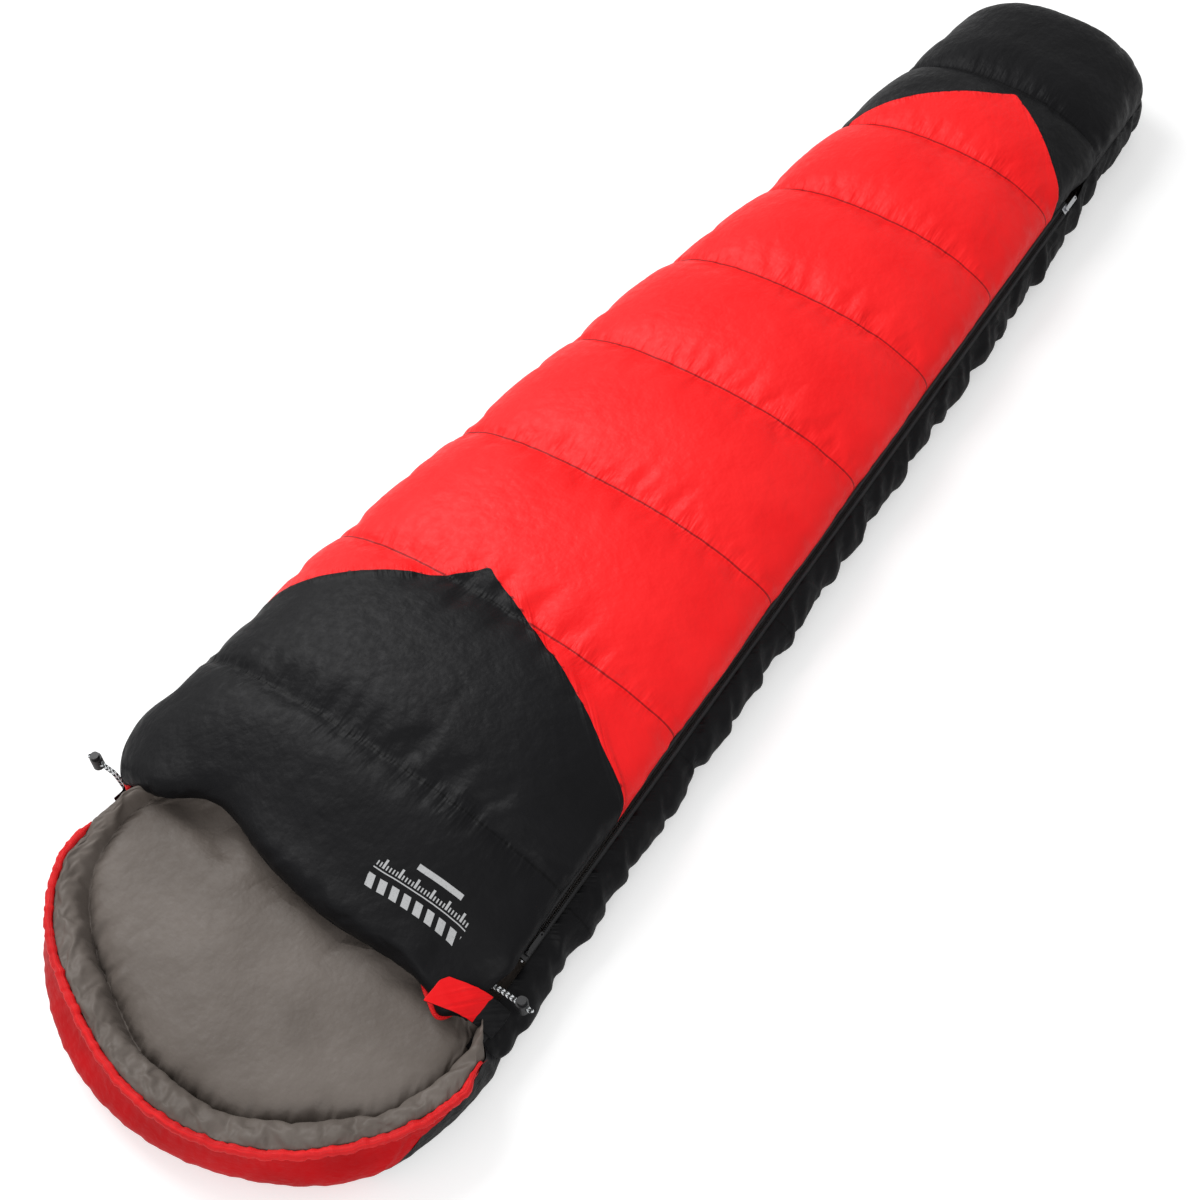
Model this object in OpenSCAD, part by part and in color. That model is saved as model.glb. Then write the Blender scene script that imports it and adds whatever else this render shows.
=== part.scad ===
// Mummy sleeping bag laid out flat: a quilted top and bottom joined down the left
// side and zipped down the right, a drawcord hood at the head end and a boxed foot.
// Head end at -Y, foot at +Y, zip on the +X side, underside on the floor at z = 0.

/* [Bag] */
// Overall length, hood tip to foot end
total_len = 2230; // [1900:10:2400]
// Width between the side seams at the shoulders
shoulder_w = 660; // [560:10:760]
// Width between the side seams at the foot
foot_w = 350; // [280:5:420]
// Height of the lofted top above the floor along the middle
crown_h = 165; // [140:1:200]
// Height of the top's front edge above the floor, in the middle
front_h = 118; // [100:1:135]
// Height of the left side seam
side_seam_h = 52; // [44:1:60]
// Radius of the foot corners seen from above
foot_r = 60; // [40:1:80]
// Radius of the left shoulder corner seen from above
shoulder_r = 62; // [40:1:80]
// Distance from the hood seam back to the top's front edge
chest_setback = 40; // [30:1:60]

/* [Quilt] */
// Thickness of the top quilt's filling
top_fill_t = 32; // [20:1:40]
// Distance between the top quilt's first two rows of stitches
stitch_pitch = 250; // [220:5:260]
// How much narrower each next baffle is, towards the foot
stitch_narrowing = 12; // [4:1:14]
// Distance from the top's front edge to its first row of stitches
first_stitch_gap = 163; // [150:1:220]
// How deep the rows of stitches pull the top quilt in
stitch_sag = 12; // [6:1:15]
// Thickness of the bottom quilt's filling
bottom_fill_t = 28; // [20:1:36]
// Thickness of the shell and lining cloth
cloth_t = 0.8; // [0.6:0.1:1.2]
// Thickness of the filling where the quilt is sewn shut
edge_fill_t = 4; // [3:0.5:6]
// Distance of the chest panel's seam from the front edge, at its peak
chest_seam_peak = 450; // [400:5:500]
// Distance of the chest panel's seam from the front edge, at the left side
chest_seam_left = 214; // [190:1:280]
// Distance of the chest panel's seam from the front edge, at the zip
chest_seam_right = 265; // [220:5:320]
// Distance of the foot panel's seam from the foot end, at its peak
foot_seam_peak = 272; // [250:1:300]
// Distance of the foot panel's seam from the foot end, at the left side
foot_seam_left = 478; // [400:1:500]
// Distance of the foot panel's seam from the foot end, at the zip
foot_seam_right = 413; // [380:1:450]
// How far the foot's end panel bulges out
end_panel_t = 25; // [16:1:35]
// How far the bottom quilt bulges past the zip at the shoulder
side_bulge = 36; // [34:1:46]
// How far the bottom quilt bulges past the zip at the foot
foot_bulge = 14; // [12:1:24]

/* [Hood] */
// Length of the hood from its seam to its tip
hood_len = 280; // [240:5:330]
// Width of the hood
hood_w = 610; // [520:10:640]
// Sideways offset of the hood towards the zip
hood_shift = 40; // [10:1:45]
// Height of the hood's rim above the floor
rim_h = 86; // [78:1:110]
// Height of the hood's sleeping surface above the floor
hood_floor_h = 38; // [30:1:44]
// Width of the hood's coloured outer band, as a share of its side
band_share = 0.24; // [0.2:0.01:0.3]
// Outer diameter of the drawcord channel
channel_d = 9; // [8:0.5:11]
// Diameter of the binding along the top's front edge
binding_d = 4; // [3:0.5:5]
// Diameter of the drawcord
cord_d = 3; // [2.5:0.1:3.2]

/* [Zip] */
// Width of each zip tape that shows beside the coil
tape_w = 5; // [4:0.5:8]
// Thickness of the zip tapes
tape_t = 0.7; // [0.5:0.1:1]
// Width of one coil
coil_w = 2.6; // [2.2:0.1:3.2]
// Thickness of the closed coils
coil_t = 2.6; // [2.2:0.1:3]
// Distance from the front edge of the top to the front end of the zip
zip_front_gap = 75; // [68:1:90]
// Distance from the foot end to the foot end of the zip
zip_foot_gap = 350; // [300:5:420]
// Height of the zip's middle line above the floor
zip_h = 72; // [70:1:80]
// Length of a slider's body
slider_l = 15; // [12:0.5:18]
// Wall thickness of a slider's plates
slider_wall = 1.2; // [1:0.1:1.6]
// Length of a slider's pull tab
pull_l = 32; // [24:1:40]
// Width of a slider's pull tab
pull_w = 6.5; // [5:0.5:8]
// Travel of the upper slider
upper_travel = 1140; // [900:10:1180]
// Travel of the lower slider
lower_travel = 280; // [100:10:300]

/* [Opening flap] */
// Distance along the zip side that the turned-back corner reaches from the front edge
flap_reach = 655; // [600:5:680]
// Distance from the fold's axis to the edge of the turned-back corner
fold_offset = 55; // [50:1:70]
// Gap between the turned-back corner and the rest of the top, which the cloth spans
fold_gap = 6; // [5:1:10]
// Distance of the fold's axis in from the left side at the front edge
fold_inset = 35; // [25:1:50]

/* [Closure tab] */
// Width of the closure tab
tab_w = 40; // [30:1:50]
// Thickness of the closure tab
tab_t = 3; // [2.5:0.1:4]

/* [Cord lock] */
// Diameter of a cord lock's barrel
lock_d = 15; // [14:0.5:18]
// Length of a cord lock's barrel
lock_l = 19; // [18.5:0.5:22]
// Diameter of a cord lock's plunger
plunger_d = 11; // [10.5:0.1:11.5]
// Travel of a cord lock's plunger
plunger_travel = 4; // [3:0.5:4]
// Distance that a cord lock slides along its cord
lock_slide = 20; // [10:1:22]

/* [Hanging loop] */
// Length of the hanging loop's eye
loop_l = 30; // [24:1:40]
// Width of the hanging loop's webbing
loop_w = 15; // [10:1:20]

/* [Hidden] */
$fn = 48;

// ---- Colours ----
black_cloth = [0.06, 0.06, 0.065];
red_cloth = [0.85, 0.05, 0.07];
grey_lining = [0.42, 0.4, 0.38];
white_fill = [0.9, 0.9, 0.88];
black_plastic = [0.05, 0.05, 0.05];
bright_metal = [0.75, 0.75, 0.77];

// ---- Lengthwise places ----
y_tip = -total_len / 2;
y_neck = y_tip + hood_len;
y_chest = y_neck + chest_setback;
y_foot = total_len / 2;
y_end = y_foot - end_panel_t;
y_zip_front = y_chest + zip_front_gap;
y_zip_foot = y_foot - zip_foot_gap;

// ---- Small clearances ----
layer_gap = 0.3;
body_gap = 0.6;
seam_gap = 0.4;

function lerp(a, b, t) = a + (b - a) * t;
function unit_share(t) = max(0, min(1, t));
function smooth(t) = let (c = unit_share(t)) c * c * (3 - 2 * c);

// ---- Plan outline: a straight taper with rounded corners ----
function half_w(y) = lerp(shoulder_w, foot_w, (y - y_chest) / (y_foot - y_chest)) / 2;
taper = (foot_w - shoulder_w) / 2 / (y_foot - y_chest);
function round_off(d, r) = d >= r ? 0 : r - sqrt(max(0, r * r - (r - d) * (r - d)));
function foot_cut(y) = round_off(y_end - y, foot_r);
function left_x(y) = -(half_w(y) - foot_cut(y) - round_off(max(0, y - y_neck + 4), shoulder_r));
// The zip runs straight, further in from the side at the shoulder than at the foot
function zip_inset(y) = lerp(side_bulge, foot_bulge, (y - y_chest) / (y_zip_foot - y_chest));
function zip_line(y) = half_w(y) - zip_inset(y);
zip_taper = zip_line(1) - zip_line(0);
function zip_x(y) = zip_line(y) - foot_cut(y);

// 1 along the zip, falling to 0 where the sides are sewn together past its foot end
function zip_open(y) = 1 - smooth((y - y_zip_foot - 10) / 60);
function crown(y) = lerp(front_h, crown_h, smooth((y - y_chest) / 190))
    - 0.6 * round_off(y_end - y, foot_r);
function bulge(y) = zip_inset(y) * lerp(0.35, 1, zip_open(y))
    - round_off(max(0, y - y_neck + 4), side_bulge);

// Where each quilt's sewn edge lies on the zip side, as [x, z]
coil_slit = 0.85;
edge_back = coil_slit + coil_w + tape_w + seam_gap;
zip_tilt = 51.3;
function top_edge(y) = [zip_x(y) - edge_back * cos(zip_tilt) * zip_open(y),
    zip_h + body_gap / 2 + edge_back * sin(zip_tilt) * zip_open(y)];
function bottom_edge(y) = [zip_x(y) + edge_back * cos(zip_tilt) * zip_open(y),
    zip_h - body_gap / 2 - edge_back * sin(zip_tilt) * zip_open(y)];

// ---- Cross-section of the top, from the left seam (a = -1) to the zip (a = 1) ----
fullness = 0.86;
function top_section(a, y) = let (
    e = top_edge(y),
    side = a < 0 ? -left_x(y) : e[0],
    low = lerp(side_seam_h + body_gap / 2, e[1], (a + 1) / 2),
    f = pow(sin(90 * abs(a)), fullness),
    g = pow(max(0, cos(90 * a)), fullness))
    [sign(a) * side * f, low + (crown(y) - low) * g];

// ---- Cross-section of the bottom: flat on the floor, curled up at both sides ----
flat_share = 0.4;
left_curl = 70;
right_curl = 45;
right_low = 35;
lip_angle = 60;
function bottom_left(t, y) = let (w = -left_x(y), h = side_seam_h - body_gap / 2)
    t < flat_share
        ? [-(w - left_curl) * t / flat_share, 0]
        : let (q = 90 * (t - flat_share) / (1 - flat_share))
            [-(w - left_curl + left_curl * sin(q)), h * (1 - cos(q))];
function bottom_right(t, y) = let (e = bottom_edge(y), w = zip_x(y) + bulge(y))
    t < flat_share
        ? [(w - right_curl) * t / flat_share, 0]
        : let (q = (90 + lip_angle) * (t - flat_share) / (1 - flat_share))
            q < 90
                ? [w - right_curl + right_curl * sin(q), right_low * (1 - cos(q))]
                : [w - (w - e[0]) * (1 - cos(q - 90)) / (1 - cos(lip_angle)),
                    right_low + (e[1] - right_low) * sin(q - 90) / sin(lip_angle)];
function bottom_section(a, y) = a < 0 ? bottom_left(-a, y) : bottom_right(a, y);

// ---- Quilting: the top puffs up between rows of stitches that pull it in ----
// The rows fade out at both sides, at the front edge and at the foot end.
// stitch_y gives the place of a row by its number from 0, and stitch_count the reverse.
function stitch_y(k) = y_chest + first_stitch_gap + stitch_pitch * k
    - stitch_narrowing / 2 * k * (k - 1);
function stitch_count(y) = let (b = stitch_pitch + stitch_narrowing / 2)
    (b - sqrt(max(0, b * b - 2 * stitch_narrowing * (y - stitch_y(0))))) / stitch_narrowing;
function puff(y) = pow(abs(sin(180 * stitch_count(y))), 0.6);
function sag(a, y) = stitch_sag * (1 - puff(y)) * (1 - pow(abs(a), 8))
    * smooth((y - y_chest - 45) / 60) * (1 - smooth((y - y_end + 170) / 60));

// ---- Depth below the outer face, where filling thins towards sewn edges ----
function top_fill_depth(a, y) = edge_fill_t + (top_fill_t - edge_fill_t)
    * sqrt(unit_share((1 - abs(a)) / 0.4)) * sqrt(unit_share((y - y_chest + 6) / 60));
function bottom_fill_depth(a, y) = lerp(edge_fill_t, bottom_fill_t,
    pow(unit_share((1 - abs(a)) / (1 - flat_share)), 1.2));

// A point at a depth under a section, measured along its inward normal
step_a = 0.004;
function inset(a, y, depth, top) = let (
    a0 = max(-1, a - step_a), a1 = min(1, a + step_a),
    p = top ? top_section(a, y) : bottom_section(a, y),
    p0 = top ? top_section(a0, y) : bottom_section(a0, y),
    p1 = top ? top_section(a1, y) : bottom_section(a1, y),
    t = (p1 - p0) / norm(p1 - p0),
    n = top ? [t[1], -t[0]] : [-t[1], t[0]])
    [p[0] + n[0] * depth, y, p[1] + n[1] * depth];

// Depths of the two faces of a layer: 0 shell, 1 filling, 2 lining
function layer_depth(layer, face, fill) =
    layer == 0 ? (face == 0 ? 0 : cloth_t)
    : layer == 1 ? cloth_t + layer_gap + (face == 0 ? 0 : fill)
    : cloth_t + 2 * layer_gap + fill + (face == 0 ? 0 : cloth_t);

// The stitches pull in the shell and the filling's outer face by the sag of their own row,
// so that the two keep their gap where one is drawn back from a seam
function top_depth(layer, face, a, y, row_sag) = layer_depth(layer, face, top_fill_depth(a, y))
    + (layer == 0 || (layer == 1 && face == 0) ? row_sag : 0);

// ---- A closed solid from cells of a grid: outer and inner points, and which cells ----
// outer and inner hold (columns + 1) x (rows + 1) points; used(i, j) is a table of 0 and 1.
module grid_solid(outer, inner, cols, rows, used) {
    w = cols + 1;
    n = w * (rows + 1);
    function at(i, j) = j * w + i;
    function has(i, j) = i >= 0 && j >= 0 && i < cols && j < rows && used[j][i] == 1;
    faces = [for (j = [0:rows - 1], i = [0:cols - 1]) if (has(i, j)) each concat(
        [[at(i, j), at(i, j + 1), at(i + 1, j)], [at(i + 1, j), at(i, j + 1), at(i + 1, j + 1)],
         [n + at(i, j), n + at(i + 1, j), n + at(i, j + 1)],
         [n + at(i + 1, j), n + at(i + 1, j + 1), n + at(i, j + 1)]],
        has(i - 1, j) ? [] : [[at(i, j), n + at(i, j), at(i, j + 1)],
            [at(i, j + 1), n + at(i, j), n + at(i, j + 1)]],
        has(i + 1, j) ? [] : [[at(i + 1, j), at(i + 1, j + 1), n + at(i + 1, j)],
            [at(i + 1, j + 1), n + at(i + 1, j + 1), n + at(i + 1, j)]],
        has(i, j - 1) ? [] : [[at(i, j), at(i + 1, j), n + at(i, j)],
            [at(i + 1, j), n + at(i + 1, j), n + at(i, j)]],
        has(i, j + 1) ? [] : [[at(i, j + 1), n + at(i, j + 1), at(i + 1, j + 1)],
            [at(i + 1, j + 1), n + at(i, j + 1), n + at(i + 1, j + 1)]])];
    polyhedron(points = concat(outer, inner), faces = faces, convexity = 6);
}

// ---- The turned-back corner of the top: its fold axis and its edge ----
fold_left = [-(shoulder_w / 2 - fold_inset), y_chest];
fold_right = [zip_line(y_chest + flap_reach), y_chest + flap_reach];
fold_dir = (fold_right - fold_left) / norm(fold_right - fold_left);
fold_out = [fold_dir[1], -fold_dir[0]];
fold_z = crown_h + 8;

function side_share(a) = pow(sin(90 * abs(a)), fullness);
// A seam's distance: its peak lies a little off the middle, and both sides fall away from it
function seam_line(a, peak_a, left, peak, right) =
    a < peak_a ? lerp(peak, left, pow((peak_a - a) / (peak_a + 1), 0.8))
    : lerp(peak, right, pow((a - peak_a) / (1 - peak_a), 0.83));
function chest_seam(a) = y_chest + seam_line(a, -0.07, chest_seam_left, chest_seam_peak, chest_seam_right);
function foot_seam(a) = y_foot - seam_line(a, 0.11, foot_seam_left, foot_seam_peak, foot_seam_right);
// Where the flap's edge crosses the line a, along which x = f * (w0 + m * y)
function fold_edge(a) = let (
    f = sign(a) * side_share(a),
    w0 = a < 0 ? half_w(0) : zip_line(0) - edge_back * cos(zip_tilt),
    m = a < 0 ? taper : zip_taper,
    reach = fold_offset + fold_out[0] * fold_left[0] + fold_out[1] * fold_left[1])
    (reach - fold_out[0] * f * w0) / (fold_out[1] + fold_out[0] * f * m);
// The lines where the flap's edge meets the front edge and the chest seam
min_row = 4 * fold_gap;
function meets_front(lo, hi, n) = let (mid = (lo + hi) / 2)
    n == 0 ? mid
    : fold_edge(mid) > y_chest + min_row ? meets_front(lo, mid, n - 1) : meets_front(mid, hi, n - 1);
function meets_seam(lo, hi, n) = let (mid = (lo + hi) / 2)
    n == 0 ? mid
    : fold_edge(mid) > chest_seam(mid) ? meets_seam(lo, mid, n - 1) : meets_seam(mid, hi, n - 1);
corner_a = meets_front(-0.9, 0, 14);
cross_a = meets_seam(0, 0.9, 14);

// ---- The top quilt's grid ----
corner_col = 6;
cross_col = 13;
top_cols = 20;
rows_front = 5;
rows_seam = 5;
rows_torso = 27;
rows_foot = 7;
row_seam = rows_front + rows_seam;
row_foot = row_seam + rows_torso;
top_rows = row_foot + rows_foot;

function col_a(i) =
    i <= corner_col ? lerp(-1, corner_a, i / corner_col)
    : i <= cross_col ? lerp(corner_a, cross_a, (i - corner_col) / (cross_col - corner_col))
    : lerp(cross_a, 1, (i - cross_col) / (top_cols - cross_col));
function first_line(a) = max(y_chest + min_row, min(fold_edge(a), chest_seam(a)));
function second_line(a) = max(first_line(a) + min_row, chest_seam(a), fold_edge(a));
front_crowding = 1.6;
// The torso's rows of points lie on the rows of stitches and beside them, from half way
// past the first one on, and where a seam cuts across them they crowd along it
stitch_shares = [0, 0.17, 0.5, 0.83];
crowded_row = fold_gap;
function torso_level(j) = stitch_y(floor((j + 1) / 4) + stitch_shares[(j + 1) % 4]);
function torso_row(a, j) = max(second_line(a) + crowded_row * j,
    min(foot_seam(a) - crowded_row * (rows_torso - j), torso_level(j)));
function row_y(a, j) =
    j <= rows_front ? lerp(y_chest, first_line(a), pow(j / rows_front, front_crowding))
    : j <= row_seam ? lerp(first_line(a), second_line(a), (j - rows_front) / rows_seam)
    : j < row_foot ? torso_row(a, j - row_seam)
    : lerp(foot_seam(a), y_end, sin(90 * (j - row_foot) / rows_foot));

// Which cells belong to the flap, and which to each panel
function is_flap(i, j) = j < rows_front ? i >= corner_col : j < row_seam && i >= cross_col;
function in_chest(i, j) = j < rows_front || (j < row_seam && i < cross_col);
function in_panel(panel, i, j) =
    panel == "chest" ? in_chest(i, j)
    : panel == "torso" ? !in_chest(i, j) && j < row_foot
    : panel == "foot" ? j >= row_foot
    : true;
function top_cells(panel, flap) = [for (j = [0:top_rows - 1])
    [for (i = [0:top_cols - 1]) in_panel(panel, i, j) && is_flap(i, j) == flap ? 1 : 0]];

// Panels are drawn back from the lines that they share, lengthwise and sideways
function back_y(panel, flap, i, j) =
    flap
    ? (j == rows_front
        ? (panel == "torso" ? seam_gap / 2
            : i <= cross_col ? -fold_gap / 2 : panel == "chest" ? -seam_gap / 2 : 0)
        : j == row_seam ? -fold_gap / 2 : 0)
    : (j == rows_front
        ? (i >= corner_col && i <= cross_col ? fold_gap / 2 : 0)
        : j == row_seam
        ? (i >= cross_col && panel != "chest" ? fold_gap / 2
            : panel == "chest" ? -seam_gap / 2 : panel == "torso" ? seam_gap / 2 : 0)
        : j == row_foot
        ? (panel == "torso" ? -seam_gap / 2 : panel == "foot" ? seam_gap / 2 : 0)
        : 0);
function back_a(flap, i, j) =
    (i == corner_col && j <= rows_front) || (i == cross_col && j >= rows_front && j <= row_seam)
        ? (flap ? 1 : -1) * fold_gap / shoulder_w : 0;

function top_points(layer, face, panel, flap) = [for (j = [0:top_rows], i = [0:top_cols])
    let (a = col_a(i), a2 = a + back_a(flap, i, j),
        row = row_y(a, j), y = row + back_y(panel, flap, i, j))
    inset(a2, y, top_depth(layer, face, a2, y, sag(a, row)), true)];

module top_part(layer, panel, flap) {
    grid_solid(top_points(layer, 0, panel, flap), top_points(layer, 1, panel, flap),
        top_cols, top_rows, top_cells(panel, flap));
}

module top_shell_chest() { color(black_cloth) top_part(0, "chest", false); }
module top_shell_chest_flap() { color(black_cloth) top_part(0, "chest", true); }
module top_shell_torso() { color(red_cloth) top_part(0, "torso", false); }
module top_shell_torso_flap() { color(red_cloth) top_part(0, "torso", true); }
module top_shell_foot() { color(black_cloth) top_part(0, "foot", false); }
module top_fill() { color(white_fill) top_part(1, "all", false); }
module top_fill_flap() { color(white_fill) top_part(1, "all", true); }
module top_lining() { color(grey_lining) top_part(2, "all", false); }
module top_lining_flap() { color(grey_lining) top_part(2, "all", true); }

// ---- The bottom quilt ----
bottom_left_cols = [-1, -0.88, -0.76, -0.64, -0.52, -0.4];
bottom_right_cols = [0.4, 0.49, 0.58, 0.67, 0.76, 0.84, 0.92, 1];
bottom_a = concat(bottom_left_cols, [-0.2, 0, 0.2], bottom_right_cols);
bottom_cols = len(bottom_a) - 1;
bottom_rows = 20;
function bottom_y(j) = lerp(y_neck, y_end, j <= 14
    ? 0.82 * pow(j / 14, 1.15) : lerp(0.82, 1, sin(90 * (j - 14) / 6)));
function bottom_points(layer, face) = [for (j = [0:bottom_rows], i = [0:bottom_cols])
    let (a = bottom_a[i], y = bottom_y(j))
    inset(a, y, layer_depth(layer, face, bottom_fill_depth(a, y)), false)];
function all_cells(cols, rows) = [for (j = [0:rows - 1]) [for (i = [0:cols - 1]) 1]];

// The bottom's shell is its lower face, so its outer points lie below its inner points
module bottom_part(layer) {
    grid_solid(bottom_points(layer, 1), bottom_points(layer, 0),
        bottom_cols, bottom_rows, all_cells(bottom_cols, bottom_rows));
}
module bottom_shell() { color(black_cloth) bottom_part(0); }
module bottom_fill() { color(white_fill) bottom_part(1); }
module bottom_lining() { color(grey_lining) bottom_part(2); }

// ---- The foot's end panel ----
end_cols = 12;
end_rows = 6;
end_side = 0.9;
end_fill_t = 12;
end_edge_t = 3;
function end_share(a, t) = sqrt(unit_share(1 - pow(a / end_side, 2))) * sqrt(4 * t * (1 - t));
function end_depth(layer, face, b) = let (fill = lerp(end_edge_t, end_fill_t, b))
    end_panel_t * b + (1 - b) * (2 * cloth_t + 2 * layer_gap + end_edge_t + seam_gap)
    - layer_depth(layer, face, fill);
function end_points(layer, face) = [for (j = [0:end_rows], i = [0:end_cols]) let (
    a = end_side * (2 * i / end_cols - 1),
    t = j / end_rows,
    lo = bottom_section(a, y_end),
    hi = top_section(a, y_end),
    b = end_share(a, t))
    [lerp(lo[0], hi[0], t), y_end + end_depth(layer, face, b), lerp(lo[1], hi[1], t)]];
module end_part(layer) {
    grid_solid(end_points(layer, 1), end_points(layer, 0),
        end_cols, end_rows, all_cells(end_cols, end_rows));
}
module foot_end_shell() { color(black_cloth) end_part(0); }
module foot_end_fill() { color(white_fill) end_part(1); }
module foot_end_lining() { color(grey_lining) end_part(2); }

// ---- The hood: a half bowl on an elliptical plan, open upwards and towards the bag ----
hood_cols = 18;
hood_rows = 9;
hood_ref = (hood_w / 2 + hood_len) / 2;
hood_flat = 0.5;
hood_curl = 55;
hood_mid_h = 44;
hood_lip = 60;
hood_lean = 10;
rim_edge_t = 5;
roll_t = 40;
// Profile from the middle of the floor (s = 0) to the rim (s = 1), as [radius, z]
function hood_profile(s) = let (r = hood_ref)
    s < hood_flat ? [(r - hood_curl) * s / hood_flat, 0]
    : let (q = (90 + hood_lip) * (s - hood_flat) / (1 - hood_flat))
        q < 90 ? [r - hood_curl + hood_curl * sin(q), hood_mid_h * (1 - cos(q))]
        : [r - hood_lean * (1 - cos(q - 90)) / (1 - cos(hood_lip)),
            hood_mid_h + (rim_h - hood_mid_h) * sin(q - 90) / sin(hood_lip)];
function hood_fill_depth(s) = let (flat_t = hood_floor_h - 2 * cloth_t - 2 * layer_gap)
    s < hood_flat ? flat_t
    : s < 0.8 ? lerp(flat_t, roll_t - 6, smooth((s - hood_flat) / (0.8 - hood_flat)))
    : rim_edge_t + (roll_t - 6 - rim_edge_t) * sqrt(unit_share((1 - s) / 0.2));
step_s = 0.003;
function hood_inset(s, depth) = let (
    p0 = hood_profile(max(0, s - step_s)),
    p1 = hood_profile(min(1, s + step_s)),
    t = (p1 - p0) / norm(p1 - p0))
    hood_profile(s) + depth * [-t[1], t[0]];
function hood_point(u, v, layer, face) = let (
    ex = u * sqrt(1 - v * v / 2),
    ey = v * sqrt(1 - u * u / 2),
    s = min(1, max(0.000001, sqrt(ex * ex + ey * ey))),
    p = hood_inset(s, layer_depth(layer, face, hood_fill_depth(s))))
    [hood_shift + ex / s * (hood_w / 2) * p[0] / hood_ref,
        y_neck - body_gap - ey / s * (hood_len - body_gap) * p[0] / hood_ref, p[1]];
// The coloured band is the outermost cells of the shell
band_cols = 3;
function in_band(i, j) = i < band_cols || i >= hood_cols - band_cols || j >= hood_rows - band_cols + 1;
function hood_u(i, part) = let (
    edge = 1 - band_share,
    k = i <= hood_cols / 2 ? i : hood_cols - i,
    side = k <= band_cols
        ? lerp(1, edge, k / band_cols) + (k == band_cols ? part * 0.001 : 0)
        : lerp(edge, 0, (k - band_cols) / (hood_cols / 2 - band_cols)))
    (i <= hood_cols / 2 ? -1 : 1) * side;
function hood_v(j, part) = let (inner = hood_rows - band_cols + 1, edge = 1 - band_share * 0.8)
    j <= inner ? lerp(0, edge, j / inner) + (j == inner ? part * 0.001 : 0)
    : lerp(edge, 1, (j - inner) / (hood_rows - inner));
function hood_points(layer, face, part) = [for (j = [0:hood_rows], i = [0:hood_cols])
    hood_point(hood_u(i, part), hood_v(j, part), layer, face)];
// part: 1 the band, -1 the shell inside it, 0 the whole hood; seen from above, v runs to -Y
function hood_cells(part) = [for (j = [0:hood_rows - 1]) [for (i = [0:hood_cols - 1])
    part == 0 ? 1 : in_band(i, j) == (part == 1) ? 1 : 0]];
module hood_part(layer, part) {
    grid_solid(hood_points(layer, 0, part), hood_points(layer, 1, part),
        hood_cols, hood_rows, hood_cells(part));
}
module hood_shell() { color(black_cloth) hood_part(0, -1); }
module hood_band() { color(red_cloth) hood_part(0, 1); }
module hood_fill() { color(white_fill) hood_part(1, 0); }
module hood_lining() { color(grey_lining) hood_part(2, 0); }

// ---- Round cords: a ring of points at each place along a path ----
function unit(v) = v / norm(v);
function path_dir(p, i) = unit(p[min(len(p) - 1, i + 1)] - p[max(0, i - 1)]);
function side_dir(t) = let (c = cross(t, [0, 0, 1])) norm(c) > 0.1 ? unit(c) : unit(cross(t, [0, 1, 0]));
function ring(p, i, r, sides) = let (t = path_dir(p, i), s = side_dir(t), u = cross(s, t))
    [for (k = [0:sides - 1]) p[i] + r * (cos(360 * k / sides) * s + sin(360 * k / sides) * u)];
module cord(p, d, sides) {
    n = len(p);
    points = [for (i = [0:n - 1]) each ring(p, i, d / 2, sides)];
    sides_faces = [for (i = [0:n - 2], k = [0:sides - 1]) let (k2 = (k + 1) % sides)
        each [[i * sides + k, i * sides + k2, (i + 1) * sides + k],
            [i * sides + k2, (i + 1) * sides + k2, (i + 1) * sides + k]]];
    caps = [[for (k = [sides - 1:-1:0]) k], [for (k = [0:sides - 1]) (n - 1) * sides + k]];
    polyhedron(points = points, faces = concat(sides_faces, caps), convexity = 8);
}
// A hollow tube: the same sweep with a second, inner skin and flat ring ends
module hollow_cord(p, d, bore, sides) {
    n = len(p);
    m = n * sides;
    outer = [for (i = [0:n - 1]) each ring(p, i, d / 2, sides)];
    inner = [for (i = [0:n - 1]) each ring(p, i, bore / 2, sides)];
    skins = [for (i = [0:n - 2], k = [0:sides - 1]) let (
        k2 = (k + 1) % sides, a = i * sides + k, b = i * sides + k2,
        c = (i + 1) * sides + k, e = (i + 1) * sides + k2)
        each [[a, b, c], [b, e, c], [m + a, m + c, m + b], [m + b, m + c, m + e]]];
    ends = [for (k = [0:sides - 1]) let (k2 = (k + 1) % sides, q = (n - 1) * sides)
        each [[k, m + k, k2], [k2, m + k, m + k2],
            [q + k, q + k2, m + q + k], [q + k2, m + q + k2, m + q + k]]];
    polyhedron(points = concat(outer, inner), faces = concat(skins, ends), convexity = 8);
}

// ---- The drawcord channel on the hood's rim, and the cord inside it ----
channel_rings = 48;
channel_wall = 1;
function rim_point(angle, lift) = let (r = hood_profile(1)[0] / hood_ref)
    [hood_shift - cos(angle) * hood_w / 2 * r,
        y_neck - body_gap - sin(angle) * (hood_len - body_gap) * r, rim_h + lift];
channel_lift = channel_d / 2 + seam_gap;
channel_path = [for (k = [0:channel_rings]) rim_point(180 * k / channel_rings, channel_lift)];
module hood_channel() {
    color(red_cloth)
        hollow_cord(channel_path, channel_d, channel_d - 2 * channel_wall, 8);
}
module hood_drawcord() { color(bright_metal) cord(channel_path, cord_d, 6); }

// ---- The binding along the front edge of the top ----
binding_rings = 24;
function front_path(a0, a1) = [for (k = [0:binding_rings]) let (
    p = inset(lerp(a0, a1, k / binding_rings), y_chest, binding_d / 2, true))
    [p[0], y_chest - binding_d / 2 - seam_gap, p[2]]];
module front_binding() {
    color(red_cloth) cord(front_path(-1, corner_a - fold_gap / shoulder_w), binding_d, 6);
}
module front_binding_flap() {
    color(red_cloth) cord(front_path(corner_a + fold_gap / shoulder_w, 1), binding_d, 6);
}

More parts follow.
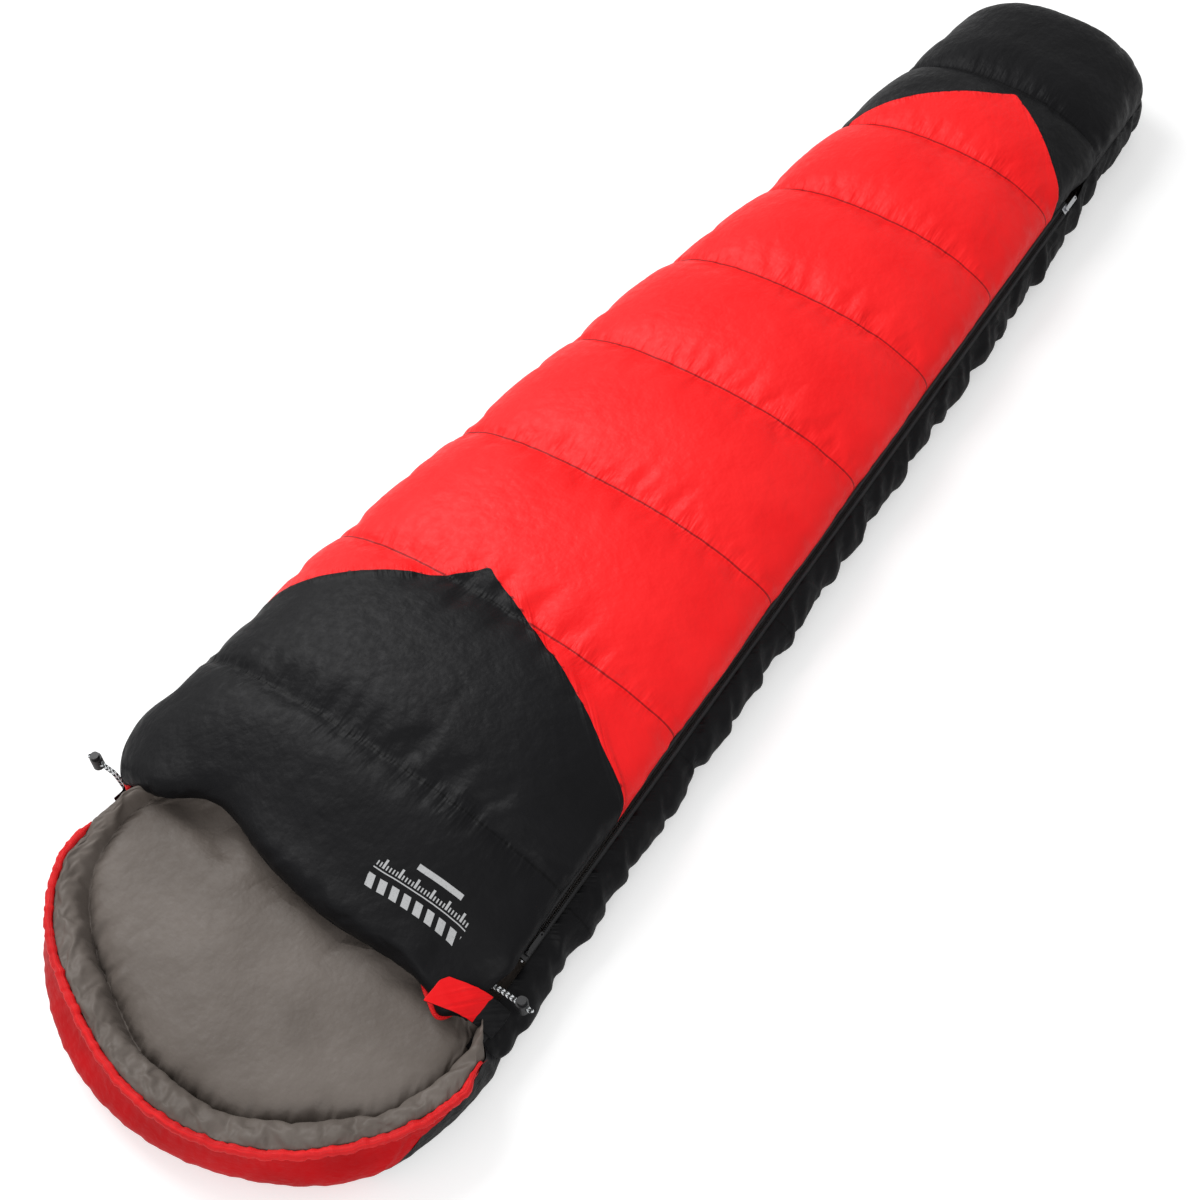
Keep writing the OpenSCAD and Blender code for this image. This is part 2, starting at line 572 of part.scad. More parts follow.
// ---- The zip: X across it (towards the bottom quilt), Y along it, Z out of the bag ----
zip_yaw = -atan(zip_taper);
module on_zip(y) {
    translate([zip_line(y), y, zip_h]) rotate([0, 0, zip_yaw]) rotate([0, zip_tilt, 0]) children();
}
function zip_run(y0, y1) = (y1 - y0) / cos(zip_yaw);
slider_w = 2 * (coil_slit + coil_w + 0.35 + slider_wall);
y_upper = y_zip_front + 2 + slider_l / 2 + 1;
y_flap_coil = y_upper + slider_l / 2 + 3;
y_lower = y_zip_foot - 2 - slider_l / 2 - 4;
y_flap_end = fold_edge(1) - fold_gap / 2 - 1;
y_top_coil = second_line(1) + fold_gap / 2 + 1;
tape_in = coil_slit + coil_w + 0.2;

// One strip beside the zip's middle line, from inner to outer distance across
module strip(y0, y1, side, inner, outer, t) {
    on_zip(y0) translate([side > 0 ? inner : -outer, 0, -t / 2]) cube([outer - inner, zip_run(y0, y1), t]);
}
module tape(y0, y1, side) { strip(y0, y1, side, tape_in, edge_back - seam_gap, tape_t); }
module coil(y0, y1, side) { strip(y0, y1, side, coil_slit, coil_slit + coil_w, coil_t); }
module zip_tape_bottom() { color(black_cloth) tape(y_zip_front, y_zip_foot, 1); }
module zip_tape_top() { color(black_cloth) tape(y_top_coil, y_zip_foot, -1); }
module zip_tape_flap() { color(black_cloth) tape(y_flap_coil, y_flap_end, -1); }
module zip_coil_bottom() { color(black_plastic) coil(y_zip_front + 2.5, y_zip_foot - 2.5, 1); }
module zip_coil_top() { color(black_plastic) coil(y_top_coil, y_zip_foot - 2.5, -1); }
module zip_coil_flap() { color(black_plastic) coil(y_flap_coil, y_flap_end, -1); }
// The stops close both ends of the coils
module zip_end_stops() {
    color(bright_metal) {
        on_zip(y_zip_front) translate([coil_slit, 0, -1.6]) cube([coil_w, 2, 3.2]);
        on_zip(y_zip_foot - 2) translate([-coil_w - coil_slit, 0, -1.6])
            cube([2 * (coil_w + coil_slit), 2, 3.2]);
    }
}

// ---- Sliders and their pull tabs ----
slot_h = tape_t + 0.7;
channel_h = coil_t + 0.7;
plate_top = channel_h / 2 + slider_wall;
bar_r = 0.8;
bar_z = plate_top + 2.4;
eye_r = 1.9;
eye_clear = 0.15;
bar_half = 2.6;
post_t = 0.9;
module slider_body() {
    l = slider_l;
    difference() {
        translate([-slider_w / 2, -l / 2, -plate_top]) cube([slider_w, l, 2 * plate_top]);
        translate([coil_slit - 0.35, -l, -channel_h / 2])
            cube([coil_w + 0.7, 2 * l, channel_h]);
        translate([-coil_slit - coil_w - 0.35, -l, -channel_h / 2])
            cube([coil_w + 0.7, 2 * l, channel_h]);
        translate([coil_slit, -l, -slot_h / 2]) cube([slider_w, 2 * l, slot_h]);
        translate([-slider_w - coil_slit, -l, -slot_h / 2]) cube([slider_w, 2 * l, slot_h]);
    }
    for (side = [-1, 1])
        translate([side * (bar_half + post_t / 2) - post_t / 2, -1.6, plate_top])
            cube([post_t, 3.2, bar_z - plate_top + 1.2]);
    translate([-bar_half - post_t / 2, 0, bar_z]) rotate([0, 90, 0])
        cylinder(r = bar_r, h = 2 * bar_half + post_t);
}
module pull_body() {
    w = 2 * bar_half - 0.6;
    difference() {
        union() {
            translate([-w / 2, 0, bar_z]) rotate([0, 90, 0]) cylinder(r = eye_r, h = w);
            translate([-w / 2, 0, bar_z - 0.75]) cube([w, 6, 1.5]);
            translate([-pull_w / 2, 5, bar_z - 0.75]) cube([pull_w, pull_l - 5 - pull_w / 2, 1.5]);
            translate([0, pull_l - pull_w / 2, bar_z - 0.75]) cylinder(d = pull_w, h = 1.5);
        }
        translate([-w, 0, bar_z]) rotate([0, 90, 0]) cylinder(r = bar_r + eye_clear, h = 2 * w);
        translate([0, pull_l - pull_w / 2, bar_z - 2]) cylinder(d = pull_w - 3.5, h = 4);
    }
}
module upper_slider() { color(black_plastic) on_zip(y_upper) slider_body(); }
module upper_pull() { color(bright_metal) on_zip(y_upper) pull_body(); }
module lower_slider() { color(bright_metal) on_zip(y_lower) slider_body(); }
module lower_pull() { color(bright_metal) on_zip(y_lower) pull_body(); }

// ---- The closure tab over the front end of the zip ----
// Its inner face follows the top, crosses the zip's line and comes down on the bottom's edge
patch_t = 1.2;
tab_y0 = y_chest - 24;
tab_rows = 3;
function over_zip(y, h) = [zip_line(y) + h * sin(zip_tilt), y, zip_h + h * cos(zip_tilt)];
function tab_inner(y) = let (ys = max(y, y_chest)) [for (p = [
    inset(0.62, ys, -3.4, true), inset(0.7, ys, -3.4, true), inset(0.78, ys, -3.6, true),
    inset(0.86, ys, -4, true), inset(0.94, ys, -4.6, true), over_zip(ys, 6),
    inset(0.985, ys, -4.8, false), inset(0.96, ys, -4.4, false),
    inset(0.935, ys, -4.4, false)]) [p[0], y, p[2]]];
function out_dir(p, i) = let (t = unit(p[min(len(p) - 1, i + 1)] - p[max(0, i - 1)]))
    [-t[2], 0, t[0]];
function tab_points(from, to, out) = [for (j = [0:tab_rows])
    let (p = tab_inner(tab_y0 + tab_w * j / tab_rows))
    each [for (i = [from:to]) p[i] + out * out_dir(p, i)]];
module tab_layer(from, to, out0, out1) {
    grid_solid(tab_points(from, to, out1), tab_points(from, to, out0),
        to - from, tab_rows, all_cells(to - from, tab_rows));
}
module closure_tab() { color(red_cloth) tab_layer(0, 8, 0, tab_t); }
module tab_hook_patch() { color(black_plastic) tab_layer(6, 8, -patch_t - 0.2, -0.2); }
loop_cols = 3;
function loop_points(out) = [for (j = [0:tab_rows], i = [0:loop_cols])
    inset(lerp(0.98, 0.93, i / loop_cols), tab_y0 + 4 + (tab_w - 8) * j / tab_rows, -out, false)];
module tab_loop_patch() {
    color(black_plastic)
        grid_solid(loop_points(0.4 + patch_t), loop_points(0.4),
            loop_cols, tab_rows, all_cells(loop_cols, tab_rows));
}

// ---- Drawcord ends and cord locks ----
// Two strands leave the cloth, run straight through the lock and turn back in a loop
strand_gap = cord_d + 0.4;
turn_r = strand_gap / 2;
// In the lock's frame the strands run along X through z = 0, one beside the other along Y
function strand(side, reach) = [for (x = [-reach:6:lock_d / 2 + 3]) [x, side * turn_r, 0]];
function turn_path(reach, drop) = concat(
    [for (k = [0:4]) [-reach - 14 + 14 * k / 5, -turn_r, -drop * pow(1 - k / 5, 2)]],
    strand(-1, reach),
    [for (k = [0:6]) [lock_d / 2 + 5 + turn_r * sin(30 * k), -turn_r * cos(30 * k), 0]],
    [for (x = [0:1:len(strand(1, reach)) - 1]) let (s = strand(1, reach)) s[len(s) - 1 - x]],
    [for (k = [4:-1:0]) [-reach - 14 + 14 * k / 5, turn_r, -drop * pow(1 - k / 5, 2)]]);
slot_half = cord_d / 2 + 0.3;
barrel_low = -(lock_l - 8);
barrel_high = 8;
barrel_bore = plunger_d + 0.3;
barrel_floor = barrel_low + 1.5;
plunger_low = -slot_half - 1.7;
button_out = plunger_travel + 1.2;
module lock_barrel() {
    difference() {
        translate([0, 0, barrel_low]) cylinder(d = lock_d, h = barrel_high - barrel_low);
        translate([0, 0, barrel_floor]) cylinder(d = barrel_bore, h = lock_l);
        translate([-lock_d, -2 * turn_r, -slot_half])
            cube([2 * lock_d, 4 * turn_r, 2 * slot_half]);
    }
}
module lock_plunger() {
    difference() {
        translate([0, 0, plunger_low])
            cylinder(d = plunger_d, h = barrel_high + button_out - plunger_low);
        translate([-lock_d, -2 * turn_r, -slot_half])
            cube([2 * lock_d, 4 * turn_r, 2 * slot_half + plunger_travel]);
    }
}
spring_wire = 0.6;
spring_turns = 2.5;
spring_low = barrel_floor + spring_wire / 2 + 0.02;
spring_high = plunger_low - spring_wire / 2 - 0.02;
spring_path = [for (k = [0:15 * spring_turns]) let (q = 24 * k)
    [3.6 * cos(q), 3.6 * sin(q), lerp(spring_low, spring_high, k / (15 * spring_turns))]];
module lock_spring() { cord(spring_path, spring_wire, 6); }

right_reach = lock_slide + lock_d / 2 + 6;
y_right_lock = tab_y0 + tab_w + lock_d / 2 + 8;
right_lock = [half_w(y_right_lock) + 1, y_right_lock, zip_h + 8];
module at_right_lock() { translate(right_lock) children(); }
module drawcord_right() {
    color(bright_metal) at_right_lock() cord(turn_path(right_reach, 9), cord_d, 8);
}
module lock_barrel_right() { color(black_plastic) at_right_lock() lock_barrel(); }
module lock_plunger_right() { color(black_plastic) at_right_lock() lock_plunger(); }
module lock_spring_right() { color(bright_metal) at_right_lock() lock_spring(); }

left_reach = lock_slide + lock_d / 2 + 1;
left_lock = [-(half_w(y_neck) - 20), y_neck + 21, side_seam_h + 18];
left_drop = left_lock[2] - bottom_fill_t - 6;
module at_left_lock() { translate(left_lock) rotate([0, 0, 180]) children(); }
module drawcord_left() {
    color(bright_metal) at_left_lock() cord(turn_path(left_reach, left_drop), cord_d, 8);
}
module lock_barrel_left() { color(black_plastic) at_left_lock() lock_barrel(); }
module lock_plunger_left() { color(black_plastic) at_left_lock() lock_plunger(); }
module lock_spring_left() { color(bright_metal) at_left_lock() lock_spring(); }

// ---- The hanging loop at the foot's left corner ----
loop_h = 9;
loop_t = 1.2;
module loop_outline(grow) {
    translate([loop_h / 2 + loop_t, 0]) circle(r = loop_h / 2 - grow);
    translate([loop_l - loop_h / 2, 0]) circle(r = loop_h / 2 - grow);
    translate([loop_h / 2 + loop_t, -loop_h / 2 + grow])
        square([loop_l - loop_h - loop_t, loop_h - 2 * grow]);
}
hang_corner = [left_x(y_end - foot_r * 0.3) - 2, y_end - foot_r * 0.3 + 2, side_seam_h + 4];
module hang_loop() {
    color(red_cloth) translate(hang_corner) rotate([0, 0, 135]) rotate([90, 0, 0])
        translate([0, 0, -loop_w / 2]) linear_extrude(loop_w) difference() {
            loop_outline(0);
            loop_outline(loop_t);
        }
}

top_shell_chest();
top_shell_chest_flap();
top_shell_torso();
top_shell_torso_flap();
top_shell_foot();
top_fill();
top_fill_flap();
top_lining();
top_lining_flap();
bottom_shell();
bottom_fill();
bottom_lining();
foot_end_shell();
foot_end_fill();
foot_end_lining();
hood_shell();
hood_band();
hood_fill();
hood_lining();
hood_channel();
hood_drawcord();
front_binding();
front_binding_flap();
zip_tape_bottom();
zip_tape_top();
zip_tape_flap();
zip_coil_bottom();
zip_coil_top();
zip_coil_flap();
zip_end_stops();
upper_slider();
upper_pull();
lower_slider();
lower_pull();
closure_tab();
tab_hook_patch();
tab_loop_patch();
drawcord_right();
lock_barrel_right();
lock_plunger_right();
lock_spring_right();
drawcord_left();
lock_barrel_left();
lock_plunger_left();
lock_spring_left();
hang_loop();
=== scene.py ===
import math
import bmesh
import bpy
import numpy as np
from mathutils import Matrix, Vector


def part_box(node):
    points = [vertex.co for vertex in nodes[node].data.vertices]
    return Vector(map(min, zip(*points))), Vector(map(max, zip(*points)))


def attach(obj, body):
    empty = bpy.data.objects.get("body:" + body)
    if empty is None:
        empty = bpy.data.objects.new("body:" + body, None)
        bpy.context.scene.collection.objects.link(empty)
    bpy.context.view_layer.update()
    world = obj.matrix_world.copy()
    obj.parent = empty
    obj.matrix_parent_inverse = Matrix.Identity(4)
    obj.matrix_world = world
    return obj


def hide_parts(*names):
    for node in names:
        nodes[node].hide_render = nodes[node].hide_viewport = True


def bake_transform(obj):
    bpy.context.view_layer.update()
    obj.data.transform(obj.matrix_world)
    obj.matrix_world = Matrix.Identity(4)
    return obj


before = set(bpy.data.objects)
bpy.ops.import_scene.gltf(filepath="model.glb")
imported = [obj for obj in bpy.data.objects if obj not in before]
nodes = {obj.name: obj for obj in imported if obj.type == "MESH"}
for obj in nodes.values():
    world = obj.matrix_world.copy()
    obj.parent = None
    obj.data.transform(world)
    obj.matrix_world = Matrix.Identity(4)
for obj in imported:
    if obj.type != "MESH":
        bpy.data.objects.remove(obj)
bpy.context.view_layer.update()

# ---------------------------------------------------------------------------
# Camera. The bag lies on the floor and is seen from above its zip side, near
# the hood, so that the hood is close and the foot far away.
# ---------------------------------------------------------------------------
camera_place = Vector((0.996, -1.3483, 1.981))
turned, lowered, rolled = (math.radians(v) for v in (40.72, 52.91, -4.77))
ahead = Vector((-math.sin(turned) * math.cos(lowered), math.cos(turned) * math.cos(lowered),
                -math.sin(lowered)))
level = ahead.cross(Vector((0, 0, 1))).normalized()
above = level.cross(ahead)
to_right = math.cos(rolled) * level + math.sin(rolled) * above
to_top = math.cos(rolled) * above - math.sin(rolled) * level


def add_object(name, data):
    """A new object of the scene."""
    made = bpy.data.objects.new(name, data)
    bpy.context.scene.collection.objects.link(made)
    return made


camera = add_object("camera", bpy.data.cameras.new("camera"))
stance = Matrix((to_right, to_top, -ahead)).transposed().to_4x4()
camera.matrix_world = Matrix.Translation(camera_place) @ stance
camera.data.sensor_width = 36
camera.data.lens = 54.76
camera.data.clip_end = 50
bpy.context.scene.camera = camera

# ---------------------------------------------------------------------------
# Drawcord ends. A braided cord, black with white flecks, comes out doubled on
# each side of the hood, runs through a cord lock and turns back in a loop.
# ---------------------------------------------------------------------------
cord_d = 0.003
strand_half = 0.0017
lock_r = 0.0075


def finish(name):
    """A new material, its node tree, and its Principled shader."""
    mat = bpy.data.materials.new(name)
    mat.use_nodes = True
    tree = mat.node_tree
    return mat, tree, tree.nodes["Principled BSDF"]


def tint(red, green, blue):
    """Screen colour from 0 to 255 made linear: ((c + 0.055) / 1.055) to the power 2.4, or c / 12.92 when dark."""
    out = []
    for c in (red, green, blue):
        c /= 255
        out.append(c / 12.92 if c <= 0.04045 else ((c + 0.055) / 1.055) ** 2.4)
    return (*out, 1.0)


def feed(tree, node, values):
    """Gives the node's inputs, by name or number, their values; each is a socket or plain numbers."""
    for label, value in values.items():
        if isinstance(value, bpy.types.NodeSocket):
            tree.links.new(value, node.inputs[label])
        else:
            node.inputs[label].default_value = value


def sum_node(tree, kind, *values):
    """One arithmetic node; each value is a socket or a number."""
    node = tree.nodes.new("ShaderNodeMath")
    node.operation = kind
    feed(tree, node, dict(enumerate(values)))
    return node.outputs[0]


def times(tree, first, second):
    """Product of two values."""
    return sum_node(tree, "MULTIPLY", first, second)


def plus(tree, first, second):
    """Sum of two values."""
    return sum_node(tree, "ADD", first, second)


def mix_node(tree, share, first, second):
    """Mix of two colours; each input is a socket or plain numbers."""
    node = tree.nodes.new("ShaderNodeMix")
    node.data_type = "RGBA"
    feed(tree, node, {0: share, 6: first, 7: second})
    return node.outputs[2]


def ramp_node(tree, value, low, high, to_low=0.0, to_high=1.0):
    """Smooth ramp: to_low where value is low or less, to_high where it is high or more."""
    node = tree.nodes.new("ShaderNodeMapRange")
    node.interpolation_type = "SMOOTHSTEP"
    feed(tree, node, dict(enumerate((value, low, high, to_low, to_high))))
    return node.outputs[0]


def place_sockets(tree):
    """The piece's own pattern place, in metres along and across its surface, with its two parts."""
    uv = tree.nodes.new("ShaderNodeUVMap")
    uv.uv_map = "place"
    split = tree.nodes.new("ShaderNodeSeparateXYZ")
    tree.links.new(uv.outputs[0], split.inputs[0])
    return uv.outputs[0], split.outputs[0], split.outputs[1]


def bump_node(tree, skin, height):
    """Height in metres felt by the light on the skin."""
    node = tree.nodes.new("ShaderNodeBump")
    feed(tree, node, {"Distance": 1.0, "Height": height})
    tree.links.new(node.outputs[0], skin.inputs["Normal"])


def look(tree, skin, colour, rough, gloss=None):
    """Colour, roughness and, where given, specular level of a skin; each is a socket or plain numbers."""
    feed(tree, skin, {"Base Color": colour, "Roughness": rough})
    if gloss is not None:
        skin.inputs["Specular IOR Level"].default_value = gloss


def spread(*parts):
    """Points from coordinates of unlike shapes: all spread to one common shape, then stacked last."""
    return np.stack(np.broadcast_arrays(*parts), -1)


def run_along(path):
    """Length of the path from its start to each of its points."""
    return np.concatenate([[0], np.cumsum(np.linalg.norm(np.diff(path, axis=0), axis=1))])


def swept_tube(path, radius, sides=12):
    """Tube: at each point of the path a circle of the given radius, in the plane across the path's direction.
    Gives points (rings, sides, 3) and each one's pattern place: run along the path, and share of a turn round it."""
    path = np.asarray(path, float)
    along = np.gradient(path, axis=0)
    along /= np.linalg.norm(along, axis=1)[:, None]
    side = np.zeros_like(path)
    side[0] = np.cross(along[0], (0, 0, 1) if abs(along[0][2]) < 0.9 else (0, 1, 0))
    side[0] /= np.linalg.norm(side[0])
    for i in range(1, len(path)):
        side[i] = side[i - 1] - along[i] * np.dot(side[i - 1], along[i])
        side[i] /= np.linalg.norm(side[i])
    over = np.cross(along, side)
    q = np.linspace(0, 2 * math.pi, sides, endpoint=False)
    radius = np.broadcast_to(np.asarray(radius, float), (len(path),))[:, None, None]
    ring = np.cos(q)[None, :, None] * side[:, None] + np.sin(q)[None, :, None] * over[:, None]
    run = run_along(path)
    place = spread(run[:, None], (q / (2 * math.pi))[None, :])
    return path[:, None] + radius * ring, place


def grid_mesh(name, points, place, around=False, capped=False, flip=False):
    """Mesh of a grid of points (rows, columns, 3): one four-sided face per cell. around joins the last column to
    the first; capped closes the end rows with a fan. place, two numbers for each point, becomes the pattern place."""
    rows, cols = points.shape[:2]
    index = np.arange(rows * cols).reshape(rows, cols)
    if around:
        index = np.concatenate([index, index[:, :1]], 1)
    a, b, c, d = index[:-1, :-1], index[:-1, 1:], index[1:, 1:], index[1:, :-1]
    quads = np.stack([a, d, c, b] if flip else [a, b, c, d], -1).reshape(-1, 4)
    wide = place if not around else np.concatenate([place, place[:, :1] + (0, 1)], 1)
    spot = np.arange(wide.shape[0] * wide.shape[1]).reshape(wide.shape[:2])
    corners = (spot[:-1, :-1], spot[:-1, 1:], spot[1:, 1:], spot[1:, :-1])
    if flip:
        corners = (corners[0], corners[3], corners[2], corners[1])
    places = wide.reshape(-1, 2)[np.stack(corners, -1).reshape(-1)]
    verts = points.reshape(-1, 3)
    faces = quads.tolist()
    if capped:
        verts = np.concatenate([verts, [points[0].mean(0), points[-1].mean(0)]])
        for row, centre, turned_ in ((index[0], len(verts) - 2, flip), (index[-1], len(verts) - 1, not flip)):
            pairs = np.stack([row[:-1], row[1:]] if turned_ else [row[1:], row[:-1]], -1)
            fan = np.concatenate([pairs, np.full((len(pairs), 1), centre)], 1)
            faces += fan.tolist()
            flat = np.concatenate([place.reshape(-1, 2), [place[0].mean(0), place[-1].mean(0)]])
            places = np.concatenate([places, flat[fan.reshape(-1)]])
    mesh = bpy.data.meshes.new(name)
    mesh.from_pydata(verts.tolist(), [], faces)
    mesh.uv_layers.new(name="place").data.foreach_set("uv", places.astype(np.float32).ravel())
    mesh.polygons.foreach_set("use_smooth", np.ones(len(mesh.polygons), bool))
    mesh.update()
    return add_object(name, mesh)


def tube_piece(name, path, radius, sides, mat):
    """Capped tube along the path, in one material."""
    points, place = swept_tube(path, radius, sides)
    return wear(grid_mesh(name, points, place, around=True, capped=True), mat)


def wear(piece, mat):
    """Gives the piece, or a CAD node, one material."""
    piece.data.materials.clear()
    piece.data.materials.append(mat)
    return piece


def rounded(path, times=3):
    """Path with its corners cut: each pass puts points at a quarter and three quarters of every step."""
    path = np.asarray(path, float)
    for _ in range(times):
        a, b = path[:-1], path[1:]
        mid = np.stack([0.75 * a + 0.25 * b, 0.25 * a + 0.75 * b], 1).reshape(-1, 3)
        path = np.concatenate([path[:1], mid, path[-1:]])
    return path


def doubled_path(reach, drop):
    """Two strands side by side: up out of the cloth on a parabola, straight through the lock, and back after a turn."""
    k = np.arange(5) / 5
    out = np.stack([-reach - 0.014 + 0.014 * k, np.full(5, -strand_half), -drop * (1 - k) ** 2], 1)
    x = np.arange(-reach, lock_r + 0.003 + 1e-9, 0.006)
    straight = np.stack([x, np.full(len(x), -strand_half), np.zeros(len(x))], 1)
    q = np.radians(np.arange(0, 181, 30))
    end = np.stack([lock_r + 0.005 + strand_half * np.sin(q), -strand_half * np.cos(q), 0 * q], 1)
    one = np.concatenate([out, straight])
    return np.concatenate([one, end, one[::-1] * (1, -1, 1)])


braid, tree, skin = finish("braided_cord")
_, along, round_ = place_sockets(tree)
# Flecks zigzag round the cord: white where a stripe along it, shifted by a triangle wave round it, is in its first half
zig = sum_node(tree, "PINGPONG", times(tree, round_, 2.0), 0.5)
stripe = sum_node(tree, "FRACT", plus(tree, times(tree, along, 165.0), zig))
fleck = sum_node(tree, "LESS_THAN", stripe, 0.45)
look(tree, skin, mix_node(tree, fleck, tint(24, 24, 26), tint(222, 226, 228)), 0.6)
plait = sum_node(tree, "SINE", plus(tree, times(tree, along, 5200.0),
                                        times(tree, round_, 18.85)))
bump_node(tree, skin, times(tree, plait, 0.00012))


def bore(node):
    """Middle of a lock's cord bore: the middle of its box seen from above, 11 mm over its underside."""
    low, high = np.array(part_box(node))
    return np.array([*(low + high)[:2] / 2, low[2] + 0.011])


right_lock, left_lock = bore("lock_barrel_right"), bore("lock_barrel_left")
lock_slide = 0.020
reach = lock_slide + lock_r
left_exit_z = 0.034

for name, lock, facing, past_slide, drop in (("right", right_lock, 1, 0.006, 0.009),
                                             ("left", left_lock, -1, 0.001, left_lock[2] - left_exit_z)):
    path = rounded(doubled_path(reach + past_slide, drop) * (facing, facing, 1) + lock, 2)
    piece = tube_piece("drawcord_end_" + name, path, cord_d / 2, 10, braid)
    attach(piece, "bag")
    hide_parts("drawcord_" + name)

# ---------------------------------------------------------------------------
# Bottom quilt. A black polyester shell over fibre filling, flat on the floor, its
# sides curled up to the left seam and to the zip. It is cut full on the zip side,
# where it stands out past the top in loose folds.
# ---------------------------------------------------------------------------
neck_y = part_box("bottom_shell")[0][1]
front_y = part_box("top_shell_chest")[0][1]
end_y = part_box("top_shell_foot")[1][1]
foot_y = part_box("foot_end_shell")[1][1]
zip_foot_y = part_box("zip_end_stops")[1][1]
shoulder_w, foot_w = 0.660, 0.350
seam_h, zip_h = 0.052, 0.072
front_h, crown_h, crown_rise = 0.118, 0.165, 0.190
shoulder_bulge, foot_bulge = 0.036, 0.014
left_curl, right_curl, right_curl_h = 0.070, 0.045, 0.035
half_gap = 0.0003
floor_share = 0.4
foot_corner, shoulder_corner = 0.060, 0.105
zip_tilt = math.radians(51.3)
edge_back = 0.00885
first_stitch, stitch_pitch, narrowing = front_y + 0.163, 0.250, 0.012
numbers = np.arange(8)
stitch_rows = first_stitch + stitch_pitch * numbers - narrowing / 2 * numbers * (numbers - 1)


def mix(a, b, t):
    """Straight mix from a at t = 0 to b at t = 1."""
    return a + (b - a) * t


def smooth(t):
    """Smooth step: 0 up to t = 0, 1 from t = 1, and 3 t squared - 2 t cubed between."""
    t = np.clip(t, 0, 1)
    return t * t * (3 - 2 * t)


def wander(t, seed):
    """Uneven wave between about -1 and 1: a sum of four sines of t whose lengths share no common period."""
    turns = np.array([1.0, 1.618, 2.414, 3.303]) * 2 * math.pi
    starts = np.array([0.3, 1.9, 4.1, 5.3]) * (seed + 1)
    share = np.array([0.4, 0.3, 0.2, 0.1])
    return (share * np.sin(np.asarray(t)[..., None] * turns + starts)).sum(-1)


def bell(value, centre, width):
    """Bell: e to the power minus the square of the distance from the centre, in widths."""
    return np.exp(-((value - centre) / width) ** 2)


def corner_cut(d, r):
    """What a corner of radius r takes off at distance d from the end: r - sqrt(r squared - (r - d) squared)."""
    d = np.clip(d, 0, r)
    return r - np.sqrt(r * r - (r - d) ** 2)


def half_width(y):
    """Half the width: a straight taper from the shoulder to the foot."""
    return mix(shoulder_w, foot_w, (y - front_y) / (foot_y - front_y)) / 2


def left_side(y):
    """x of the left seam: the straight taper, drawn in by 10 mm at the shoulder and 18 mm at the foot and let out by
    4 mm between, less the foot's and the shoulder's round corners. The shoulder's starts ahead of the top's front edge
    and ends where the hood joins."""
    shoulder = np.minimum(corner_cut(y - front_y + 0.034, shoulder_corner), 0.055)
    drawn_in = 0.010 - 0.014 * smooth((y + 0.56) / 0.13) + 0.022 * smooth((y - 0.12) / 0.42)
    return -(half_width(y) - drawn_in - corner_cut(end_y - y, foot_corner) - shoulder)


def zip_inset(y):
    """How far the zip lies inside the half width: a straight taper from the shoulder to the foot."""
    return mix(shoulder_bulge, foot_bulge, (y - front_y) / (zip_foot_y - front_y))


def zip_line(y):
    """x of the zip: the half width less the inset."""
    return half_width(y) - zip_inset(y)


def zip_open(y):
    """1 along the zip, falling to 0 where the sides are sewn together past its foot end."""
    return 1 - smooth((y - zip_foot_y - 0.010) / 0.060)


def zip_side(y):
    """x of the zip side's edge: the zip line less the foot's round corner."""
    return zip_line(y) - corner_cut(end_y - y, foot_corner)


def bottom_face(a, y):
    """Outer face of the bottom, x and z, from the left seam (a = -1) over the floor to the zip (a = 1): level in the
    middle, a quarter turn up on the left, and on the right a quarter turn out and a lip back in to the zip tape."""
    left = -left_side(y)
    k = (np.abs(a) - floor_share) / (1 - floor_share)
    q = np.pi / 2 * np.clip(k, 0, 1)
    x_left = np.where(k < 0, -(left - left_curl) * np.abs(a) / floor_share, -(left - left_curl + left_curl * np.sin(q)))
    z_left = np.where(k < 0, 0, (seam_h - half_gap) * (1 - np.cos(q)))
    opened = zip_open(y)
    edge_x = zip_side(y) + edge_back * math.cos(zip_tilt) * opened
    edge_z = zip_h - half_gap - edge_back * math.sin(zip_tilt) * opened
    wide = zip_side(y) + zip_inset(y) * mix(0.35, 1, opened) - corner_cut(y - neck_y + 0.004, shoulder_bulge)
    lip = math.radians(60)
    q = (np.pi / 2 + lip) * np.clip(k, 0, 1)
    past = np.clip(q - np.pi / 2, 0, lip)
    under = np.minimum(q, np.pi / 2)
    x_right = np.where(k < 0, (wide - right_curl) * a / floor_share, wide - right_curl + right_curl * np.sin(under))
    x_right = x_right - (wide - edge_x) * (1 - np.cos(past)) / (1 - math.cos(lip))
    rise = right_curl_h * (1 - np.cos(under)) + (edge_z - right_curl_h) * np.sin(past) / math.sin(lip)
    z_right = np.where(k < 0, 0, rise)
    return np.where(a < 0, x_left, x_right), np.where(a < 0, z_left, z_right)


def face_points(face, a, y, lift=0.0):
    """Points of a face at shares a and places y, raised by lift along the face's outward normal, which is the
    section's own direction turned a quarter."""
    x, z = face(a, y)
    x0, z0 = face(np.maximum(a - 0.004, -1), y)
    x1, z1 = face(np.minimum(a + 0.004, 1), y)
    run = np.hypot(x1 - x0, z1 - z0)
    side = 1 if face is not bottom_face else -1
    nx, nz = -(z1 - z0) / run * side, (x1 - x0) / run * side
    return spread(x + nx * lift, y, z + nz * lift)


def section_run(face, shares):
    """Length along the face's section at y = 0, from the first share to each."""
    return np.concatenate([[0], np.cumsum(np.hypot(*np.diff(np.stack(face(shares, 0 * shares)), axis=1)))])


